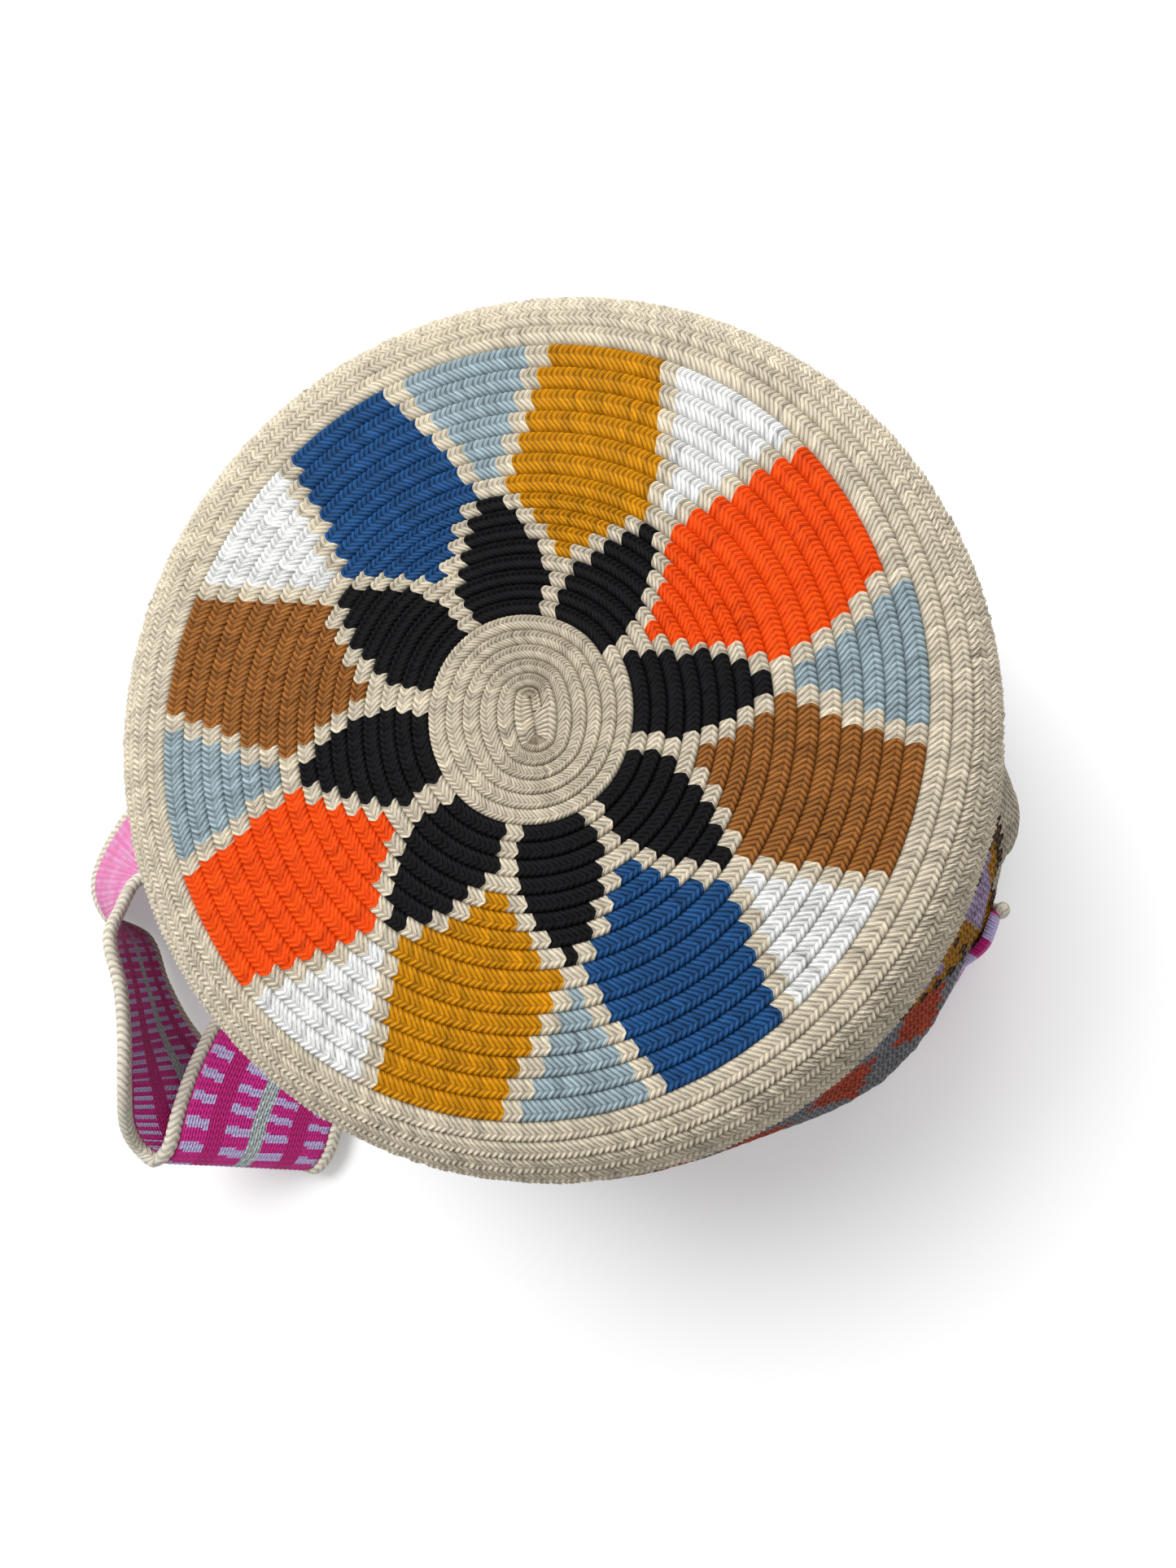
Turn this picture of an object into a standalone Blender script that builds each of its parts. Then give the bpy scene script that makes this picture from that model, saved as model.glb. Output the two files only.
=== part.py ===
"""Crocheted shoulder bag set down on its mouth, round base up, with its woven strap on the floor.

The bag is one spiral of crochet: a flat round base of ridged rows, a soft wall that sinks into
one deep fold, and a mouth with small eyelets for a drawstring. The strap is a woven band with a
crocheted border along each long edge. It leaves the mouth at the left, stands up on its edge,
doubles back at the lower left, passes under the mouth, arches inside the bag and comes out
under the mouth at the right, where its other end lies against the wall.
Metres, +Z up. The origin is the middle of the whole thing's footprint on the floor.
"""
import math

import bmesh
import bpy
from mathutils import Vector

# Crochet of the bag
ROW_PITCH = 0.0052
FABRIC = 0.0040
RIDGE = 0.0007
SEGMENTS = 48
ROWS_FLAT = 20
ROW_WRAPPED = 22
ROWS_CREAM_END = 25.5
ROWS_END = 55.6
# Rings of the wall below the ridged rows, and rings of the base's inside
WALL_RINGS = 20
INSIDE_BASE_ROWS = (19.0, 15.0, 11.0, 7.0, 3.0)

# Heights and radii of the slumped wall, outside
BASE_HEIGHT = 0.1400
EDGE_RADIUS = 0.1205
EDGE_DROP = 0.0100
BELLY_RADIUS = 0.1255
BELLY_HEIGHT = 0.0900
CREASE_RADIUS = 0.1040
CREASE_HEIGHT = 0.0600
LOW_BELLY_RADIUS = 0.1340
LOW_BELLY_HEIGHT = 0.0290
MOUTH_RADIUS = 0.1240

# Uneven slump, as height of the swelling, azimuth of its middle and half its spread in degrees
SHOULDER_SWELL = (0.0070, -38.0, 50.0)
SHOULDER_LUMP = (0.0048, -10.0, 9.0)
BACK_SWELL = (0.0060, 165.0, 70.0)
RIGHT_SWELL = (0.0045, -31.0, 45.0)
CREASE_WAVE = 0.0030
CREASE_HEIGHT_WAVE = 0.0040
# Where the strap lifts the mouth: azimuth, half the held width and the ramp in degrees
LEFT_LIFT = (215.0, 24.0, 12.0)
RIGHT_LIFT = (-31.0, 18.0, 10.0)
LIFT_PLAY = 0.0022

# Pattern of the base: azimuths of the eight kites and of the small triangles between them
KITE_AZIMUTHS = (80.0, 33.0, -13.0, -57.5, -101.5, -145.0, -189.0, -235.0)
TRIANGLE_AZIMUTHS = (57.0, 8.0, -37.5, -80.0, -123.5, -168.5, -211.5, -258.0)
KITE_COLOURS = ("mustard", "orange", "brown", "blue")
TRIANGLE_COLOURS = ("white", "light_blue")
DISC_ROWS = 5.3
KITE_TIP_ROW = 8.9
SHOULDER_ROW = 12.4
PATTERN_END_ROW = 19.8
KITE_SHOULDER_HALF = 18.5
KITE_END_HALF = 9.7
TRIANGLE_END_HALF = 11.3
PETAL_HALF = 22.5

# Pattern of the wall: lilac diamonds with mustard and dark brown borders, in degrees and rows
DIAMOND_AZIMUTH = -22.0
DIAMOND_PITCH = 60.0
DIAMOND_ROWS = 24.0
DIAMOND_NARROW_HALF = 6.0
DIAMOND_WIDE_HALF = 18.0
DIAMOND_BORDERS = ((-5.0, "lilac"), (-1.5, "mustard"), (2.0, "dark_brown"))
STEP_PITCH = 15.0
STEP_ROWS = 8.0

# Drawstring eyelets near the mouth
EYELET_AZIMUTHS = (0.0, 31.0, 62.0, 94.0, 125.0, 156.0, 219.0, 245.0, 271.0, 297.0)
EYELET_ROWS_FROM_MOUTH = 3.6
EYELET_WIDTH = 0.0090
EYELET_SLIT = 0.0036

# Strap
BAND_WIDTH = 0.0540
BAND_THICKNESS = 0.0030
BORDER_DIAMETER = 0.0058
CLEARANCE = 0.0003
SEAT = 0.0007
LEFT_END_AZIMUTH = 186.0
RIGHT_END_AZIMUTH = -31.0
END_CURVE = 0.0039
# Where the stripes of the band change, across its width from its middle
STRIPE_BOUNDS = (-0.0270, -0.0180, -0.0120, -0.0030, 0.0030, 0.0120, 0.0180, 0.0270)
STRIPES = ("magenta", "deep_magenta", "magenta", "grey_green", "magenta", "deep_magenta", "magenta")

# Rows of the wall that the strap's two ends lie against, from the end down to the bend
END_ROWS = (47.4, 49.5, 51.6)
# Places of the bends at the two ends, as radius and height beside the mouth
LEFT_BEND = ((0.1390, 0.0088),)
RIGHT_BEND = ((0.1305, 0.0042), (0.1392, 0.0088))
# The strap's free route: a point on its first edge, one on its second, steps to the next pair
ROUTE = (
    ((-0.1480, -0.0438, 0.0157), (-0.1620, 0.0138, 0.0034), 3),
    ((-0.1570, -0.0385, 0.0415), (-0.1930, -0.0069, 0.0034), 4),
    ((-0.1655, -0.0415, 0.0470), (-0.2098, -0.0374, 0.0035), 3),
    ((-0.1685, -0.0520, 0.0520), (-0.2035, -0.0540, 0.0035), 2),
    ((-0.1668, -0.0625, 0.0600), (-0.1860, -0.0625, 0.0035), 2),
    ((-0.1630, -0.0785, 0.0620), (-0.1770, -0.0800, 0.0035), 2),
    ((-0.1605, -0.0963, 0.0620), (-0.1650, -0.0975, 0.0035), 2),
    ((-0.1625, -0.1125, 0.0590), (-0.1440, -0.1180, 0.0035), 2),
    ((-0.1655, -0.1265, 0.0515), (-0.1275, -0.1360, 0.0038), 3),
    ((-0.1630, -0.1368, 0.0455), (-0.1155, -0.1440, 0.0042), 3),
    ((-0.1555, -0.1420, 0.0460), (-0.1070, -0.1455, 0.0048), 3),
    ((-0.1490, -0.1370, 0.0475), (-0.1020, -0.1395, 0.0050), 3),
    ((-0.1480, -0.1230, 0.0440), (-0.0990, -0.1285, 0.0048), 3),
    ((-0.1455, -0.1040, 0.0320), (-0.0925, -0.1190, 0.0042), 3),
    ((-0.1400, -0.0840, 0.0160), (-0.0850, -0.1070, 0.0040), 3),
    ((-0.1290, -0.0650, 0.0060), (-0.0740, -0.0925, 0.0040), 3),
    ((-0.1068, -0.0332, 0.0042), (-0.0552, -0.0648, 0.0038), 3),
    ((-0.0891, -0.0029, 0.0220), (-0.0389, -0.0311, 0.0040), 3),
    ((-0.0662, 0.0196, 0.0510), (-0.0318, 0.0084, 0.0036), 3),
    ((-0.0360, 0.0360, 0.0640), (-0.0320, 0.0360, 0.0036), 3),
    ((-0.0100, 0.0500, 0.0640), (-0.0100, 0.0500, 0.0036), 3),
    ((0.0160, 0.0470, 0.0640), (0.0160, 0.0470, 0.0036), 3),
    ((0.0360, 0.0260, 0.0640), (0.0360, 0.0260, 0.0036), 3),
    ((0.0470, -0.0030, 0.0630), (0.0520, 0.0070, 0.0036), 3),
    ((0.0530, -0.0360, 0.0500), (0.0710, -0.0020, 0.0040), 3),
    ((0.0650, -0.0640, 0.0190), (0.0930, -0.0120, 0.0040), 3),
    ((0.0770, -0.0780, 0.0046), (0.1070, -0.0260, 0.0038), 2),
    ((0.0875, -0.0870, 0.0040), (0.1187, -0.0350, 0.0038), 2),
)

COLOURS = {
    "cream": "#ccc3af",
    "black": "#17161b",
    "mustard": "#c58811",
    "orange": "#f04d0e",
    "brown": "#8f5a2c",
    "blue": "#295581",
    "light_blue": "#a1b2b8",
    "white": "#e9e9e2",
    "wall_grey": "#86868c",
    "lilac": "#b7a3c6",
    "dark_brown": "#4a3020",
    "wall_red": "#c2492a",
    "magenta": "#ce2385",
    "deep_magenta": "#a8145e",
    "grey_green": "#b1b9bc",
    "edging_cream": "#e1d8c7",
}
BAG_COLOURS = ("cream", "black", "mustard", "orange", "brown", "blue", "light_blue", "white",
               "wall_grey", "lilac", "dark_brown", "wall_red")


def linear(channel):
    """sRGB channel to linear."""
    return channel / 12.92 if channel <= 0.04045 else ((channel + 0.055) / 1.055) ** 2.4


def yarn_material(name):
    """Matt yarn in one colour."""
    hex_colour = COLOURS[name].lstrip("#")
    rgb = [linear(int(hex_colour[i:i + 2], 16) / 255) for i in (0, 2, 4)]
    material = bpy.data.materials.new(name)
    material.use_nodes = True
    shader = material.node_tree.nodes["Principled BSDF"]
    shader.inputs["Base Color"].default_value = (rgb[0], rgb[1], rgb[2], 1.0)
    shader.inputs["Roughness"].default_value = 0.85
    shader.inputs["Metallic"].default_value = 0.0
    material.diffuse_color = (rgb[0], rgb[1], rgb[2], 1.0)
    return material


def new_collection(name):
    """Collection linked to the scene."""
    collection = bpy.data.collections.new(name)
    bpy.context.scene.collection.children.link(collection)
    return collection


def angle_between(a, b):
    """Signed difference of two azimuths in degrees, from -180 to 180."""
    return (a - b + 180.0) % 360.0 - 180.0


def swell(azimuth, shape):
    """Smooth swelling round an azimuth, given as height, middle and half spread."""
    height, centre, half_spread = shape
    offset = abs(angle_between(azimuth, centre)) / half_spread
    return height * math.cos(offset * math.pi / 2) ** 2 if offset < 1 else 0.0


def plateau(azimuth, shape):
    """Flat top of height 1 round an azimuth with smooth sides."""
    centre, half_width, ramp = shape
    past = (abs(angle_between(azimuth, centre)) - half_width) / ramp
    past = min(max(past, 0.0), 1.0)
    return math.cos(past * math.pi / 2) ** 2


def catmull_rom(knots, values, x):
    """Smooth curve through values at increasing knots, read at x."""
    last = len(knots) - 1
    i = 0
    while i < last - 1 and x > knots[i + 1]:
        i += 1

    def slope(k):
        low = max(k - 1, 0)
        high = min(k + 1, last)
        return (values[high] - values[low]) / (knots[high] - knots[low])

    span = knots[i + 1] - knots[i]
    t = (x - knots[i]) / span
    start = values[i] * (2 * t ** 3 - 3 * t ** 2 + 1) + slope(i) * span * (t ** 3 - 2 * t ** 2 + t)
    end = values[i + 1] * (3 * t ** 2 - 2 * t ** 3) + slope(i + 1) * span * (t ** 3 - t ** 2)
    return start + end


def mouth_lift(azimuth):
    """How far the mouth is held off the floor where the strap passes under it."""
    strap_stack = BORDER_DIAMETER + LIFT_PLAY
    return strap_stack * max(plateau(azimuth, LEFT_LIFT), plateau(azimuth, RIGHT_LIFT))


def wall_knots(azimuth):
    """Rows, radii and heights that the outer profile passes through at an azimuth."""
    flat = ROWS_FLAT * ROW_PITCH
    bump = swell(azimuth, SHOULDER_SWELL) + swell(azimuth, SHOULDER_LUMP)
    belly = BELLY_RADIUS + bump + swell(azimuth, BACK_SWELL)
    wave = math.radians(azimuth)
    crease = CREASE_RADIUS + CREASE_WAVE * math.sin(3 * wave + 0.6)
    crease_height = CREASE_HEIGHT + CREASE_HEIGHT_WAVE * math.sin(2 * wave + 1.0)
    low_belly = LOW_BELLY_RADIUS + swell(azimuth, RIGHT_SWELL)
    lift = mouth_lift(azimuth)
    edge = BASE_HEIGHT - EDGE_DROP
    rows = (ROWS_FLAT - 1, ROWS_FLAT, ROW_WRAPPED, 24, 26.4, 32.2, 35.1, 40.5, 46.6, 49.7, 52.9, ROWS_END)
    radii = (flat - ROW_PITCH, flat, EDGE_RADIUS - 0.0070, EDGE_RADIUS,
             EDGE_RADIUS + 0.0015 + 0.3 * bump, belly, belly - 0.0035,
             crease, low_belly - 0.0045, low_belly, low_belly - 0.0030, MOUTH_RADIUS)
    heights = (BASE_HEIGHT, BASE_HEIGHT, BASE_HEIGHT - 0.0018, edge,
               edge - 0.0120, BELLY_HEIGHT, BELLY_HEIGHT - 0.0140,
               crease_height, LOW_BELLY_HEIGHT + 0.0150 + 0.15 * lift,
               LOW_BELLY_HEIGHT + 0.30 * lift, 0.0130 + 0.65 * lift, lift)
    return rows, radii, heights


def profile(azimuth, row):
    """Radius and height of the outer surface at a row."""
    if row <= ROWS_FLAT - 1:
        return row * ROW_PITCH, BASE_HEIGHT
    rows, radii, heights = wall_knots(azimuth)
    return catmull_rom(rows, radii, row), catmull_rom(rows, heights, row)


def profile_normal(azimuth, row):
    """Outward normal of the profile, in radius and height."""
    step = 0.25
    low = profile(azimuth, max(row - step, 0.0))
    high = profile(azimuth, min(row + step, ROWS_END))
    dr = high[0] - low[0]
    dz = high[1] - low[1]
    length = math.hypot(dr, dz)
    return -dz / length, dr / length


def bag_point(azimuth, row, offset):
    """Point at a row and azimuth, moved out of the surface by an offset."""
    radius, height = profile(azimuth, row)
    out_r, out_z = profile_normal(azimuth, row)
    radius += out_r * offset
    height += out_z * offset
    a = math.radians(azimuth)
    return Vector((radius * math.cos(a), radius * math.sin(a), height))


def base_colour(azimuth, row):
    """Colour of the base's pattern at a row and azimuth."""
    if row > PATTERN_END_ROW or row < DISC_ROWS + 0.4:
        return "cream"
    outline = math.degrees(0.5 * ROW_PITCH / (row * ROW_PITCH))
    for i, kite in enumerate(KITE_AZIMUTHS):
        away = abs(angle_between(azimuth, kite))
        if row >= SHOULDER_ROW:
            share = (row - SHOULDER_ROW) / (PATTERN_END_ROW - SHOULDER_ROW)
            half = KITE_SHOULDER_HALF + share * (KITE_END_HALF - KITE_SHOULDER_HALF)
        else:
            half = KITE_SHOULDER_HALF * (row - KITE_TIP_ROW) / (SHOULDER_ROW - KITE_TIP_ROW)
        if away < half:
            return KITE_COLOURS[i % 4]
    for i, triangle in enumerate(TRIANGLE_AZIMUTHS):
        away = abs(angle_between(azimuth, triangle))
        share = (row - SHOULDER_ROW - 0.6) / (PATTERN_END_ROW - SHOULDER_ROW - 0.6)
        if share > 0 and away < TRIANGLE_END_HALF * share:
            return TRIANGLE_COLOURS[i % 2]
        if row < KITE_TIP_ROW:
            half = PETAL_HALF - outline
        else:
            half = (PETAL_HALF - outline) * (SHOULDER_ROW - row) / (SHOULDER_ROW - KITE_TIP_ROW)
        if row < SHOULDER_ROW and away < half:
            return "black"
    return "cream"


def wall_colour(azimuth, row):
    """Colour of the wall's pattern: lilac diamonds between cream and grey panels."""
    depth = row - ROWS_CREAM_END
    sixth = angle_between(azimuth, DIAMOND_AZIMUTH) / DIAMOND_PITCH
    away = abs(sixth - round(sixth)) * DIAMOND_PITCH
    widening = 2.0 * min(depth, DIAMOND_ROWS - depth) / DIAMOND_ROWS
    half = DIAMOND_NARROW_HALF + (DIAMOND_WIDE_HALF - DIAMOND_NARROW_HALF) * widening
    for border, colour in DIAMOND_BORDERS:
        if away < half + border:
            return colour
    panel_is_grey = math.floor(-sixth) % 2 == 0
    from_step = abs((azimuth % STEP_PITCH) - 0.5 * STEP_PITCH)
    if depth > 3.0 and (depth % STEP_ROWS) > 1.5 + 0.8 * from_step:
        return "wall_red" if panel_is_grey else "blue"
    return "wall_grey" if panel_is_grey else "cream"


def bag_colour(azimuth, row):
    """Colour of the bag's outside at a row and azimuth."""
    if row > ROWS_CREAM_END:
        return wall_colour(azimuth, row)
    return base_colour(azimuth, row)


def outer_rings():
    """Rows and ridge heights of the outer rings, from the middle of the base to the mouth."""
    rings = []
    for row in range(1, int(ROWS_CREAM_END)):
        rings.append((row - 0.45, RIDGE))
        rings.append((float(row), 0.0))
    start = rings[-1][0]
    for i in range(1, WALL_RINGS + 1):
        rings.append((start + (ROWS_END - start) * i / WALL_RINGS, 0.0))
    return rings


def inner_rings():
    """Rows of the inner rings, from the mouth back to the middle of the base."""
    step = (ROWS_END - ROW_WRAPPED) / WALL_RINGS
    wall = [ROWS_END - step * i for i in range(WALL_RINGS + 1)]
    return wall + list(INSIDE_BASE_ROWS)


def add_ring(bm, row, offset):
    """One ring of vertices round the bag."""
    ring = []
    for i in range(SEGMENTS):
        ring.append(bm.verts.new(bag_point(360.0 * i / SEGMENTS, row, offset)))
    return ring


def bridge_rings(bm, upper, lower, colour_at):
    """Quads between two rings, coloured by a function of azimuth."""
    for i in range(SEGMENTS):
        j = (i + 1) % SEGMENTS
        face = bm.faces.new((upper[i], lower[i], lower[j], upper[j]))
        face.material_index = BAG_COLOURS.index(colour_at(360.0 * (i + 0.5) / SEGMENTS))
        face.smooth = True


def close_pole(bm, ring, height, outward):
    """Fan of triangles over the middle of the base."""
    pole = bm.verts.new((0.0, 0.0, height))
    for i in range(SEGMENTS):
        j = (i + 1) % SEGMENTS
        corners = (pole, ring[i], ring[j]) if outward else (pole, ring[j], ring[i])
        bm.faces.new(corners).smooth = True


def make_bag_body(parts, cutters, materials):
    """The crocheted bag: a loft of rings out over the base, down the wall and back inside."""
    bm = bmesh.new()
    outer = outer_rings()
    rings = [add_ring(bm, row, ridge) for row, ridge in outer]
    for k in range(len(rings) - 1):
        middle = 0.5 * (outer[k][0] + outer[k + 1][0])
        bridge_rings(bm, rings[k], rings[k + 1], lambda azimuth: bag_colour(azimuth, middle))
    inner_rows = inner_rings()
    inside = [add_ring(bm, row, -FABRIC) for row in inner_rows]
    bridge_rings(bm, rings[-1], inside[0], lambda azimuth: "cream")
    for k in range(len(inside) - 1):
        middle = 0.5 * (inner_rows[k] + inner_rows[k + 1])
        bridge_rings(bm, inside[k], inside[k + 1], lambda azimuth: bag_colour(azimuth, middle))
    close_pole(bm, rings[0], BASE_HEIGHT, True)
    close_pole(bm, inside[-1], BASE_HEIGHT - FABRIC, False)
    mesh = bpy.data.meshes.new("bag_body")
    bm.to_mesh(mesh)
    bm.free()
    for name in BAG_COLOURS:
        mesh.materials.append(materials[name])
    body = bpy.data.objects.new("bag_body", mesh)
    parts.objects.link(body)
    eyelets = make_eyelet_cutter(cutters)
    cut = body.modifiers.new("eyelets", "BOOLEAN")
    cut.operation = "DIFFERENCE"
    cut.object = eyelets
    cut.solver = "EXACT"
    return body


def make_eyelet_cutter(cutters):
    """Slits through the wall near the mouth, all in one cutter."""
    bm = bmesh.new()
    row = ROWS_END - EYELET_ROWS_FROM_MOUTH
    for azimuth in EYELET_AZIMUTHS:
        middle = bag_point(azimuth, row, -0.5 * FABRIC)
        out_r, out_z = profile_normal(azimuth, row)
        a = math.radians(azimuth)
        outward = Vector((out_r * math.cos(a), out_r * math.sin(a), out_z))
        sideways = Vector((-math.sin(a), math.cos(a), 0.0))
        along = outward.cross(sideways)
        made = bmesh.ops.create_cube(bm, size=1.0)
        for vert in made["verts"]:
            x, y, z = vert.co
            vert.co = (middle + outward * x * 5 * FABRIC + sideways * y * EYELET_WIDTH
                       + along * z * EYELET_SLIT)
    bmesh.ops.recalc_face_normals(bm, faces=bm.faces)
    mesh = bpy.data.meshes.new("eyelet_cutter")
    bm.to_mesh(mesh)
    bm.free()
    cutter = bpy.data.objects.new("eyelet_cutter", mesh)
    cutter.hide_render = True
    cutter.display_type = "WIRE"
    cutters.objects.link(cutter)
    return cutter


def station_at(azimuth, radius, height, side, curve, row=None):
    """Strap station given by a radius and height beside the bag."""
    a = math.radians(azimuth)
    middle = Vector((radius * math.cos(a), radius * math.sin(a), height))
    edge = Vector((-math.sin(a), math.cos(a), 0.0)) * side
    return middle, edge, curve, 3, row


def end_on_wall(azimuth, side, rows):
    """Stations of a strap end that lies against the wall."""
    stations = []
    off = 0.5 * BAND_THICKNESS + SEAT
    for row in rows:
        radius, height = profile(azimuth, row)
        out_r, out_z = profile_normal(azimuth, row)
        stations.append(station_at(azimuth, radius + out_r * off, height + out_z * off,
                                   side, END_CURVE, row))
    return stations


def strap_stations():
    """Stations of the strap: middle, edge direction, curve across, steps, row on the wall."""
    stations = end_on_wall(LEFT_END_AZIMUTH, 1.0, END_ROWS)
    for radius, height in LEFT_BEND:
        stations.append(station_at(LEFT_END_AZIMUTH, radius, height, 1.0, 0.5 * END_CURVE))
    for first, second, steps in ROUTE:
        middle = 0.5 * (Vector(first) + Vector(second))
        stations.append((middle, (Vector(first) - Vector(second)).normalized(), 0.0, steps, None))
    for radius, height in RIGHT_BEND:
        stations.append(station_at(RIGHT_END_AZIMUTH, radius, height, -1.0, 0.5 * END_CURVE))
    return stations + end_on_wall(RIGHT_END_AZIMUTH, -1.0, reversed(END_ROWS))


def strap_frames():
    """Middle, first-edge direction, outward normal, curve and wall seat along the strap."""
    stations = strap_stations()
    knots = [0.0]
    for before, after in zip(stations, stations[1:]):
        knots.append(knots[-1] + (after[0] - before[0]).length)

    def read(pick, x):
        return catmull_rom(knots, [pick(station) for station in stations], x)

    places = []
    for k, (before, after) in enumerate(zip(stations, stations[1:])):
        for i in range(before[3]):
            share = i / before[3]
            row = None
            if before[4] is not None and after[4] is not None:
                row = before[4] + (after[4] - before[4]) * share
            elif i == 0:
                row = before[4]
            places.append((knots[k] + (knots[k + 1] - knots[k]) * share, row))
    places.append((knots[-1], stations[-1][4]))
    middles = [Vector([read(lambda s, i=i: s[0][i], x) for i in range(3)]) for x, _ in places]
    frames = []
    for k, (x, row) in enumerate(places):
        along = (middles[min(k + 1, len(middles) - 1)] - middles[max(k - 1, 0)]).normalized()
        edge = Vector([read(lambda s, i=i: s[1][i], x) for i in range(3)])
        edge.normalize()
        seat = None
        if row is not None:
            left = x < 0.5 * knots[-1]
            seat = (LEFT_END_AZIMUTH, row, 1.0) if left else (RIGHT_END_AZIMUTH, row, -1.0)
        normal = along.cross(edge).normalized()
        frames.append((middles[k], edge, normal, read(lambda s: s[2], x), seat))
    return frames


def across_strap(frame, across):
    """Point of the strap's middle surface at a distance across it."""
    middle, edge, normal, curve, seat = frame
    if seat:
        azimuth, row, side = seat
        turn = side * math.degrees(across / profile(azimuth, row)[0])
        return bag_point(azimuth + turn, row, 0.5 * BAND_THICKNESS + SEAT)
    share = across / (0.5 * BAND_WIDTH)
    return middle + edge * across - normal * (curve * share * share)


def line_directions(frames, points):
    """Direction along a line of the strap and the surface normal, at each of its points."""
    directions = []
    last = len(points) - 1
    for k, frame in enumerate(frames):
        along = (points[min(k + 1, last)] - points[max(k - 1, 0)]).normalized()
        directions.append((along, along.cross(frame[1]).normalized()))
    return directions


def strap_line(frames, across, lift):
    """Line along the strap at a distance across it, lifted square to its surface."""
    points = [across_strap(frame, across) for frame in frames]
    directions = line_directions(frames, points)
    return [point + normal * lift for point, (_, normal) in zip(points, directions)]


def border_line(frames, side):
    """Middle of the border beside one long edge, square to that edge."""
    radius = 0.5 * BORDER_DIAMETER
    points = [across_strap(frame, side * 0.5 * BAND_WIDTH) for frame in frames]
    directions = line_directions(frames, points)
    line = []
    for frame, point, (along, normal) in zip(frames, points, directions):
        outward = frame[1] * side
        outward = (outward - along * outward.dot(along)).normalized()
        rise = radius - 0.5 * BAND_THICKNESS if frame[4] else 0.0
        line.append(point + outward * (CLEARANCE + radius) + normal * rise)
    return line


def make_strap_band(parts, materials):
    """The woven band: a closed strip lofted along the frames, in coloured stripes."""
    bm = bmesh.new()
    half = 0.5 * BAND_THICKNESS
    frames = strap_frames()
    lines = [strap_line(frames, x, half) for x in STRIPE_BOUNDS]
    lines += [strap_line(frames, x, -half) for x in reversed(STRIPE_BOUNDS)]
    loops = [[bm.verts.new(line[k]) for line in lines] for k in range(len(frames))]
    count = len(STRIPE_BOUNDS)
    names = sorted(set(STRIPES))
    for before, after in zip(loops, loops[1:]):
        for i in range(2 * count):
            j = (i + 1) % (2 * count)
            face = bm.faces.new((before[i], before[j], after[j], after[i]))
            stripe = max(min(i, 2 * count - 2 - i, count - 2), 0)
            face.material_index = names.index(STRIPES[stripe])
    for loop, flip in ((loops[0], True), (loops[-1], False)):
        for i in range(count - 1):
            corners = (loop[i], loop[i + 1], loop[2 * count - 2 - i], loop[2 * count - 1 - i])
            bm.faces.new(tuple(reversed(corners)) if flip else corners)
    bmesh.ops.recalc_face_normals(bm, faces=bm.faces)
    mesh = bpy.data.meshes.new("strap_band")
    bm.to_mesh(mesh)
    bm.free()
    for name in names:
        mesh.materials.append(materials[name])
    band = bpy.data.objects.new("strap_band", mesh)
    parts.objects.link(band)
    return band


def make_strap_border(parts, material, name, side):
    """Rope-like crocheted border along one long edge of the strap."""
    points = border_line(strap_frames(), side)
    curve = bpy.data.curves.new(name, "CURVE")
    curve.dimensions = "3D"
    curve.bevel_depth = 0.5 * BORDER_DIAMETER
    curve.bevel_resolution = 2
    curve.use_fill_caps = True
    spline = curve.splines.new("POLY")
    spline.points.add(len(points) - 1)
    for point, place in zip(spline.points, points):
        point.co = (place.x, place.y, place.z, 1.0)
    curve.materials.append(material)
    border = bpy.data.objects.new(name, curve)
    parts.objects.link(border)
    return border


def centre_on_floor(objects, cutters):
    """Moves everything so that the footprint's middle and the floor are at the origin."""
    bpy.context.view_layer.update()
    graph = bpy.context.evaluated_depsgraph_get()
    corners = []
    for item in objects:
        evaluated = item.evaluated_get(graph)
        mesh = evaluated.to_mesh()
        corners += [item.matrix_world @ vert.co for vert in mesh.vertices]
        evaluated.to_mesh_clear()
    low = [min(corner[i] for corner in corners) for i in range(3)]
    high = [max(corner[i] for corner in corners) for i in range(3)]
    shift = Vector((-(low[0] + high[0]) / 2, -(low[1] + high[1]) / 2, -low[2]))
    for item in objects + cutters:
        item.location += shift


def main():
    for item in list(bpy.data.objects):
        bpy.data.objects.remove(item, do_unlink=True)
    parts = new_collection("mochila_bag")
    cutters = new_collection("cutters")
    materials = {name: yarn_material(name) for name in COLOURS}
    body = make_bag_body(parts, cutters, materials)
    band = make_strap_band(parts, materials)
    first = make_strap_border(parts, materials["edging_cream"], "strap_border_a", 1.0)
    second = make_strap_border(parts, materials["edging_cream"], "strap_border_b", -1.0)
    centre_on_floor([body, band, first, second], list(cutters.objects))


main()
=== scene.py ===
"""Crocheted shoulder bag standing on its mouth, with its woven strap folded on the floor beside it.

The bag's outside is one spiral of crochet, stitch by stitch, from the middle of the base to the
mouth. The strap is a woven band with a crocheted border along each long edge.
"""
import math

import bmesh
import bpy
import numpy as np
from bpy.props import FloatProperty, FloatVectorProperty, PointerProperty
from mathutils import Matrix, Vector


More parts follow.
